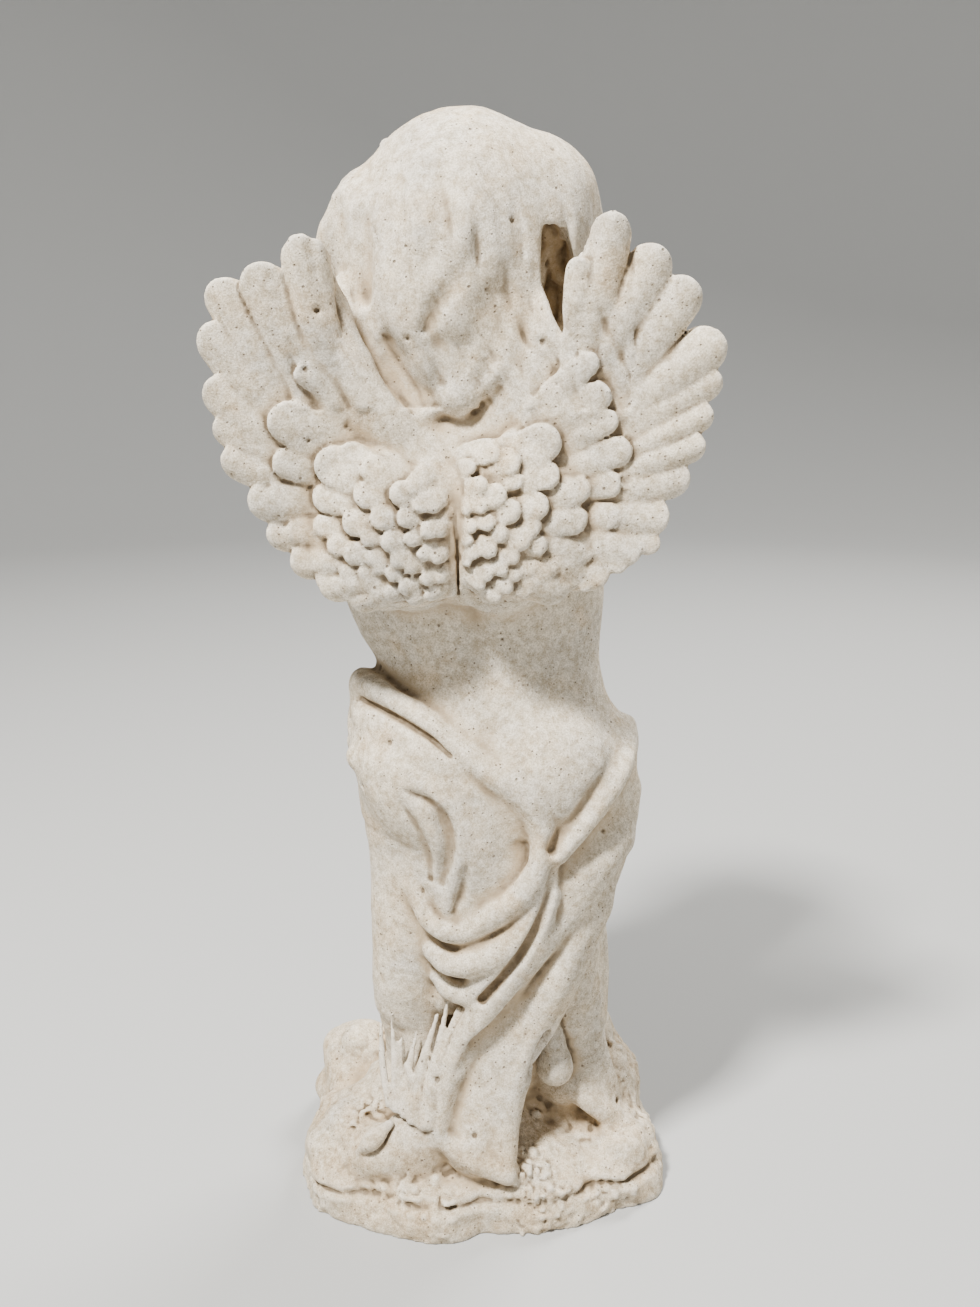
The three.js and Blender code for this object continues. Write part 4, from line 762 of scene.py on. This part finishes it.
def hair(clay):
    """Long soft hair, gathered low on the nape, with curls round the brow."""
    clay.add(Ball((8, 2, 536), (61, 60, 57)), 6)
    clay.add(Ball((54, 0, 536), (25, 38, 42), (0, 8, 0)), 12)
    clay.add(Ball((-34, 2, 545), (25, 40, 40), (0, -10, 0)), 12)
    clay.add(Limb([(10, 8, 552), (22, 20, 516), (21, 26, 494), (19, 34, 482)], [52, 44, 33, 21]), 8)
    clay.add(Ball((-22, 4, 566), (29, 34, 25)), 12)
    # What fills in between the hair and the left wing's lead.
    clay.add(Limb([(66, 30, 514), (52, 35, 490), (36, 37, 466)], [10, 12, 11]), 6)
    # The lock over the right ear and the deep gap behind it.
    clay.add(Limb([(-30, 10, 575), (-47, 8, 545), (-48, 0, 500)], [15, 14, 10]), 6)
    # Soft waves that sweep from the crown down to the left and gather in curls at the nape.
    waves = [
        ([(25, 50, 572), (29, 57, 544), (37, 52, 518), (42, 44, 494), (33, 44, 470)], [5, 8, 8, 8, 6]),
        ([(5, 52, 571), (8, 59, 543), (19, 56, 521), (31, 50, 502), (26, 49, 477)], [5, 8, 8, 7, 7]),
        ([(-8, 52, 558), (-4, 57, 531), (10, 54, 511), (18, 51, 492), (14, 50, 468)], [5, 8, 7, 7, 6]),
        ([(-14, 50, 548), (-16, 50, 521), (-13, 49, 499), (-4, 50, 480), (10, 51, 467)], [5, 9, 10, 10, 8]),
        ([(-4, 52, 511), (2, 51, 492), (6, 51, 477), (13, 50, 464)], [5, 7, 7, 5]),
        ([(57, 36, 553), (50, 40, 538), (47, 40, 527), (55, 36, 518), (64, 30, 517)], [6, 7, 7, 7, 6]),
        ([(39, 47, 509), (54, 40, 511), (70, 26, 506)], [6, 7, 7]),
        ([(60, 30, 506), (52, 36, 486), (42, 42, 470), (28, 47, 462)], [8, 10, 10, 8]),
        ([(66, 26, 560), (74, 18, 540), (74, 10, 522)], [6, 8, 6]),
    ]
    lay(clay.add, waves, 5, flat=0.7)
    hollows = [
        ([(-2, 68, 548), (7, 67, 525), (20, 64, 509), (27, 60, 497)], [0.5, 2.5, 2.5, 0.5]),
        ([(60, 44, 549), (60, 46, 530), (59, 44, 515)], [3, 4, 4]),
        ([(-10, 61, 502), (-6, 59, 486), (2, 58, 472)], [1, 2.5, 1]),
        ([(22, 60, 490), (20, 57, 474)], [2, 3]),
        ([(46, 53, 492), (42, 53, 474), (32, 55, 463)], [1, 2, 2]),
    ]
    lay(clay.carve, hollows, 7)
    gap = [(-29, 42, 539), (-33, 38, 526), (-37, 30, 508)]
    clay.carve(Limb(gap, [10, 22, 28], flat=0.42, normal=(1, 0.15, 0.1)), 2)

    def strands(x, y, z):
        sweep = x + 0.35 * (540 - z) + 5 * np.sin(z / 17)
        soft = 1.7 * noise(sweep / 8, y / 16, z / 70) + 1.0 * noise(sweep / 4, y / 12, z / 45)
        soft += 0.35 * noise(sweep / 2.2, y / 8, z / 30)
        return soft * np.clip((588 - z) / 45, 0.15, 1)

    clay.swell((-70, 4, 462), (90, 80, 606), strands, 6)
    # Curls round the brow and cheeks.
    for i in range(9):
        a = lerp(-1.9, 1.9, i / 8)
        centre = (9 + 47 * math.sin(a), -38 - 8 * math.cos(a), 538 + 32 * math.cos(a))
        clay.add(Ball(centre, (13, 12, 13)), 4)
    for side in (1, -1):
        x = 9 + side * 50
        clay.add(Limb([(x, -22, 535), (x + side * 4, -20, 505), (x - side * 8, -12, 484)], [14, 14, 9]), 5)
    clay.add(Ball((49, -12, 588), (4, 4, 5)), 3)


def face(clay):
    """A calm child's face, bowed and turned a little."""
    outer = clay.frame
    turn = Matrix.Rotation(0.17, 4, "X") @ Matrix.Rotation(-0.1, 4, "Z")
    clay.frame = outer @ Matrix.Translation((9, -2, 534)) @ turn
    clay.add(Ball((0, -16, -2), (48, 42, 52)), 6)
    clay.add(Ball((0, -28, -32), (33, 27, 24)), 12)
    clay.add(Ball((0, -46, -42), (12, 11, 10)), 8)
    for side in (1, -1):
        clay.add(Ball((side * 23, -38, -20), (19, 17, 18)), 9)
        clay.carve(Ball((side * 19, -60, 2), (11, 8, 8)), 7)
        clay.add(Ball((side * 18.5, -46, -1), (10, 9.5, 8.5)), 2)
        clay.add(Ball((side * 4.8, -58, -15), (4, 5, 3.6)), 3)
        brow = [(side * 7, -56, 11), (side * 18, -56, 14), (side * 30, -47, 9)]
        clay.add(Limb(brow, [3, 3.5, 2]), 6)
        lash = [(side * 9.5, -55, -5), (side * 18, -56.5, -8), (side * 27, -52, -5)]
        clay.carve(Limb(lash, [1, 1.2, 1]), 1.2)
    clay.add(Limb([(0, -54, 6), (0, -58, -4), (0, -62, -13)], [3.5, 4, 5.4]), 4)
    upper = [(-9, -54, -27), (-3, -58, -25), (0, -57.5, -26), (3, -58, -25), (9, -54, -27)]
    clay.add(Limb(upper, [1.8, 2.6, 2.4, 2.6, 1.8]), 2.5)
    clay.add(Limb([(-7, -54, -31.5), (0, -57, -32.5), (7, -54, -31.5)], [2, 3.2, 2]), 2.5)
    clay.carve(Limb([(-10, -56, -29), (0, -60.5, -29), (10, -56, -29)], [0.8, 1, 0.8]), 1)
    clay.frame = outer


def air_holes(clay):
    """Small pits left by air in the casting."""
    random = np.random.default_rng(11)
    near = np.argwhere(np.abs(clay.field) < clay.cell * 0.4)
    for i, j, k in near[random.integers(0, len(near), AIR_HOLES)]:
        centre = clay.low + np.array((i, j, k)) * clay.cell
        if centre[2] > 8:
            clay.carve(Ball(centre, random.uniform(*AIR_HOLE_RADII)), 0.6)


def statue_clay():
    """The whole statue as clay, worn a little and pitted, within the solid's own box."""
    wide = max(BASE_WIDTH, WING_SPAN) * 0.6
    deep = BASE_DEPTH * 0.6
    clay = Clay((-wide, -deep, -CELL), (wide, deep, BASE_HEIGHT + FIGURE_HEIGHT * 1.02), CELL)
    rock(clay)
    ground = Matrix.Translation((0, 0, BASE_HEIGHT - DRAWN_SOLES))
    clay.frame = attached(ground, (0, 0, DRAWN_SOLES), FIGURE_HEIGHT / DRAWN_FIGURE)
    legs(clay)
    body(clay)
    drapery(clay)
    reeds(clay)
    wings(clay)
    head(clay)
    clay.frame = Matrix.Identity(4)

    def worn(x, y, z):
        return 0.3 * noise(x / 15, y / 15, z / 15) + 0.12 * noise(x / 5, y / 5, z / 5)

    clay.swell((-wide, -deep, 0), (wide, deep, BASE_HEIGHT + FIGURE_HEIGHT * 1.02), worn, 3)
    air_holes(clay)
    clay.keep_inside(*(np.array(corner) * 1000 for corner in cad_bounds))
    return clay


def skin(clay, name):
    """A mesh, in metres, where the clay's distance is zero."""
    grid = openvdb.FloatGrid(FAR)
    grid.copyFromArray(clay.field)
    points, triangles, quads = grid.convertToPolygons(isovalue=0.0, adaptivity=0.0)
    points = (points * clay.cell + clay.low) / 1000
    mesh = bpy.data.meshes.new(name)
    faces = [*triangles[:, ::-1].tolist(), *quads[:, ::-1].tolist()]
    mesh.from_pydata(points.tolist(), [], faces)
    piece = bpy.data.objects.new(name, mesh)
    bpy.context.collection.objects.link(piece)
    triangles_now = sum(len(p.vertices) - 2 for p in mesh.polygons)
    if triangles_now > TRIANGLES:
        fewer = piece.modifiers.new("fewer", "DECIMATE")
        fewer.ratio = TRIANGLES / triangles_now
        depsgraph = bpy.context.evaluated_depsgraph_get()
        piece.data = bpy.data.meshes.new_from_object(piece.evaluated_get(depsgraph))
        piece.modifiers.clear()
        bpy.data.meshes.remove(mesh)
        piece.data.name = name
    piece.data.polygons.foreach_set("use_smooth", [True] * len(piece.data.polygons))
    return piece


def crowding(clay, reach):
    """How full of clay a soft box about each grid point is: half where the surface is flat."""
    filled = np.clip(0.5 - clay.field / clay.cell, 0, 1).astype(np.float32)
    half = max(1, round(reach / clay.cell / 2))
    for axis in (0, 1, 2, 0, 1, 2):
        total = np.cumsum(np.moveaxis(filled, axis, 0), 0, dtype=np.float32)
        total = np.pad(total, ((half + 1, half), (0, 0), (0, 0)), "edge")
        filled = np.moveaxis((total[2 * half + 1 :] - total[: -2 * half - 1]) / (2 * half + 1), 0, axis)
    return filled


def mark_hollows(piece, clay):
    """Stores how deep each point lies in a crevice and in a broad hollow: half in the open."""
    mesh = piece.data
    points = np.empty(len(mesh.vertices) * 3, np.float32)
    mesh.vertices.foreach_get("co", points)
    points = points.reshape(-1, 3) * 1000
    for name, reach in (("crevice", 4), ("hollow", 12)):
        attribute = mesh.attributes.new(name, "FLOAT", "POINT")
        attribute.data.foreach_set("value", clay.sample(points, crowding(clay, reach)).astype(np.float32))


class Stone:
    """Builds a procedural material node by node."""

    def __init__(self, name):
        self.material = bpy.data.materials.new(name)
        self.material.use_nodes = True
        self.tree = self.material.node_tree
        self.surface = self.tree.nodes["Principled BSDF"]

    def link(self, value, socket):
        if isinstance(value, bpy.types.NodeSocket):
            self.tree.links.new(value, socket)
        else:
            socket.default_value = value

    def fill(self, node, **inputs):
        """Links or sets the node's inputs by name, with _ for a space."""
        for name, value in inputs.items():
            self.link(value, node.inputs[name.replace("_", " ")])

    def node(self, kind, **settings):
        node = self.tree.nodes.new(kind)
        for key, value in settings.items():
            setattr(node, key, value)
        return node

    def place(self):
        return self.node("ShaderNodeTexCoord").outputs["Object"]

    def attribute(self, name):
        return self.node("ShaderNodeAttribute", attribute_name=name).outputs["Fac"]

    def clouds(self, per_metre, detail, rough, bend=0.0):
        node = self.node("ShaderNodeTexNoise")
        self.fill(node, Vector=self.place(), Scale=per_metre, Detail=detail)
        self.fill(node, Roughness=rough, Distortion=bend)
        return node.outputs["Fac"]

    def cells(self, per_metre):
        """Distance from the nearest of a scatter of points, and a random value for each point."""
        node = self.node("ShaderNodeTexVoronoi")
        self.fill(node, Vector=self.place(), Scale=per_metre)
        split = self.node("ShaderNodeSeparateColor")
        self.link(node.outputs["Color"], split.inputs[0])
        return node.outputs["Distance"], split.outputs[0]

    def fit(self, value, low, high, to_low=0.0, to_high=1.0):
        """The value's range from low to high, fitted to another and held inside it."""
        node = self.node("ShaderNodeMapRange")
        self.fill(node, Value=value, From_Min=low, From_Max=high, To_Min=to_low, To_Max=to_high)
        return node.outputs["Result"]

    def maths(self, operation, a, b):
        node = self.node("ShaderNodeMath", operation=operation)
        self.link(a, node.inputs[0])
        self.link(b, node.inputs[1])
        return node.outputs["Value"]

    def mix(self, share, a, b, blend="MIX"):
        node = self.node("ShaderNodeMix", data_type="RGBA", blend_type=blend)
        self.link(share, node.inputs["Factor"])
        first, second = (socket for socket in node.inputs if socket.type == "RGBA")
        self.link(a, first)
        self.link(b, second)
        return next(socket for socket in node.outputs if socket.type == "RGBA")

    def bump(self, height, distance, strength, below=None):
        node = self.node("ShaderNodeBump")
        self.fill(node, Height=height, Distance=distance, Strength=strength)
        if below:
            self.link(below, node.inputs["Normal"])
        return node.outputs["Normal"]


def pinholes(stone):
    """Where a pinhole left by air is, as one: few of many cells hold one, of two sizes."""
    holes = []
    for per_metre, reach, picked in ((420, 0.24, 0.8), (170, 0.16, 0.84)):
        distance, pick = stone.cells(per_metre)
        inside = stone.fit(distance, reach * 0.5, reach, 1, 0)
        holes.append(stone.maths("MULTIPLY", inside, stone.fit(pick, picked, picked + 0.02)))
    return stone.maths("MAXIMUM", *holes)


def cast_stone():
    """Weathered cast stone: warm cream, sandy, with pinholes darkened by painted shade, and with dirt and
    painted shade in the hollows.
    """
    stone = Stone("weathered_cast_stone")
    crevice, hollow = stone.attribute("crevice"), stone.attribute("hollow")
    warm = stone.fit(stone.clouds(13, 5, 0.6), 0.36, 0.64)
    cream = stone.mix(warm, PALE_CREAM, WARM_CREAM)
    greyed = stone.fit(stone.clouds(21, 6, 0.65, 0.4), 0.46, 0.64, 0, 0.7)
    colour = stone.mix(greyed, cream, GREYED)
    ochre = stone.fit(stone.clouds(36, 6, 0.65), 0.5, 0.68, 0, 0.6)
    colour = stone.mix(ochre, colour, OCHRE)
    # The rock is browner than the figure.
    split = stone.node("ShaderNodeSeparateXYZ")
    stone.link(stone.place(), split.inputs[0])
    low_down = stone.fit(split.outputs["Z"], 0.075, 0.045, 0, 0.75)
    earthy = stone.maths("MULTIPLY", low_down, stone.fit(stone.clouds(45, 6, 0.7), 0.38, 0.6))
    colour = stone.mix(earthy, colour, EARTH)
    # Sand grains, light and dark, and the mottle of wear.
    grain = stone.clouds(1100, 3, 0.75)
    speckle = stone.mix(stone.fit(grain, 0.36, 0.6), DARK_GRAIN, PALE_GRAIN)
    colour = stone.mix(1, colour, speckle, "MULTIPLY")
    patches = stone.fit(stone.clouds(230, 4, 0.65), 0.35, 0.6)
    mottle = stone.mix(patches, DARK_MOTTLE, PALE_MOTTLE)
    colour = stone.mix(1, colour, mottle, "MULTIPLY")
    # Worn edges are paler. Dirt settles in hollows, thickly in places and thinly in others, and painted
    # shade darkens them with it: a film over broad hollows and a dark crust in the crevices.
    edge = stone.fit(crevice, 0.46, 0.34, 0, 0.35)
    colour = stone.mix(edge, colour, WORN_EDGE)
    broken = stone.fit(stone.clouds(80, 5, 0.65), 0.36, 0.58, 0.6, 1)
    # A film over the broad hollows: dirt, and painted shade where the hollows fall in shadow.
    dirt_and_shade_film = stone.maths("MULTIPLY", stone.fit(hollow, 0.51, 0.61, 0, 0.9), broken)
    colour = stone.mix(dirt_and_shade_film, colour, DIRT_AND_SHADE_FILM)
    # A dark crust in the crevices: dirt, and painted shade where the crevices fall dark.
    crevice_dirt_and_shade = stone.maths("MULTIPLY", stone.fit(crevice, 0.525, 0.605, 0, 0.95), broken)
    colour = stone.mix(crevice_dirt_and_shade, colour, DIRT_AND_SHADE_CRUST)
    hole = pinholes(stone)
    # Each pinhole is painted dark: painted shade inside the pit.
    colour = stone.mix(stone.maths("MULTIPLY", hole, 0.85), colour, PIT_SHADE)
    stone.link(colour, stone.surface.inputs["Base Color"])
    stone.link(stone.fit(grain, 0.3, 0.7, 0.86, 0.97), stone.surface.inputs["Roughness"])
    stone.surface.inputs["Specular IOR Level"].default_value = 0.22
    normal = stone.bump(stone.clouds(190, 5, 0.65), 0.001, 0.5)
    normal = stone.bump(grain, 0.0005, 0.6, normal)
    normal = stone.bump(stone.maths("SUBTRACT", 1.0, hole), 0.0008, 0.8, normal)
    stone.link(normal, stone.surface.inputs["Normal"])
    return stone.material


def plain_material(name, colour, roughness):
    """A material of one colour."""
    material = bpy.data.materials.new(name)
    material.use_nodes = True
    surface = material.node_tree.nodes["Principled BSDF"]
    surface.inputs["Base Color"].default_value = (*colour, 1)
    surface.inputs["Roughness"].default_value = roughness
    return material


def pale_floor():
    """A round floor whose rim sweeps up into a wall, so that no edge shows behind the statue."""
    middle, flat, curve, top = 0.6, 2.4, 1.4, 2.6
    sides, steps = 96, 12
    rings = [(middle, 0), (flat, 0)]
    for i in range(1, steps + 1):
        turn = math.radians(i * 90 / steps)
        rings.append((flat + curve * math.sin(turn), curve * (1 - math.cos(turn))))
    rings.append((flat + curve, top))
    points = [(0, 0, 0)]
    for radius, height in rings:
        for k in range(sides):
            turn = k * math.tau / sides
            points.append((radius * math.cos(turn), radius * math.sin(turn), height))
    faces = [(0, 1 + k, 1 + (k + 1) % sides) for k in range(sides)]
    for ring in range(len(rings) - 1):
        first = 1 + ring * sides
        for k in range(sides):
            a, b = first + k, first + (k + 1) % sides
            faces.append((a, a + sides, b + sides, b))
    mesh = bpy.data.meshes.new("floor")
    mesh.from_pydata(points, [], faces)
    mesh.polygons.foreach_set("use_smooth", [True] * len(mesh.polygons))
    mesh.materials.append(plain_material("pale_floor", (0.42, 0.42, 0.41), 0.9))
    floor = bpy.data.objects.new("floor", mesh)
    bpy.context.collection.objects.link(floor)
    return floor


def soft_light(name, place, target, size, power, colour):
    """A square light of a size in metres and a power in watts, turned to a target."""
    light = bpy.data.lights.new(name, "AREA")
    light.size = size
    light.energy = power
    light.color = colour
    lamp = bpy.data.objects.new(name, light)
    lamp.location = place
    lamp.rotation_euler = (Vector(target) - Vector(place)).to_track_quat("-Z", "Y").to_euler()
    bpy.context.collection.objects.link(lamp)


def studio():
    """A dim sky, a small strong light behind, a weak broad one and one in front."""
    world = bpy.data.worlds.new("studio")
    world.use_nodes = True
    sky = world.node_tree.nodes["Background"]
    sky.inputs["Color"].default_value = (0.93, 0.96, 1, 1)
    sky.inputs["Strength"].default_value = 0.15
    bpy.context.scene.world = world
    middle = (0, 0, 0.28)
    soft_light("key", (0.7, 0.9, 2.1), middle, 0.28, 160, (1, 0.985, 0.955))
    soft_light("fill", (-1.8, 1.3, 0.9), middle, 1.6, 8, (0.95, 0.97, 1))
    soft_light("front_key", (-1.0, -1.2, 2.1), middle, 0.8, 85, (1, 0.985, 0.955))


def photo_camera():
    """Behind the statue, at head height, looking down a little."""
    lens = bpy.data.cameras.new("camera")
    lens.sensor_fit = "AUTO"
    lens.sensor_width = 36
    # The focal length is 1179 parts of a picture that is 1307 parts high.
    lens.lens = lens.sensor_width * 1179 / 1307
    lens.clip_start = 0.01
    camera = bpy.data.objects.new("camera", lens)
    camera.location = (-0.004, 0.641, 0.494)
    camera.rotation_euler = (math.radians(75), 0, math.radians(180))
    bpy.context.collection.objects.link(camera)
    bpy.context.scene.camera = camera


clay = statue_clay()
statue = skin(clay, "putto_statue_carving")
mark_hollows(statue, clay)
statue.data.materials.append(cast_stone())
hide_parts("putto_statue")
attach(statue, "root")

pale_floor()
studio()
photo_camera()
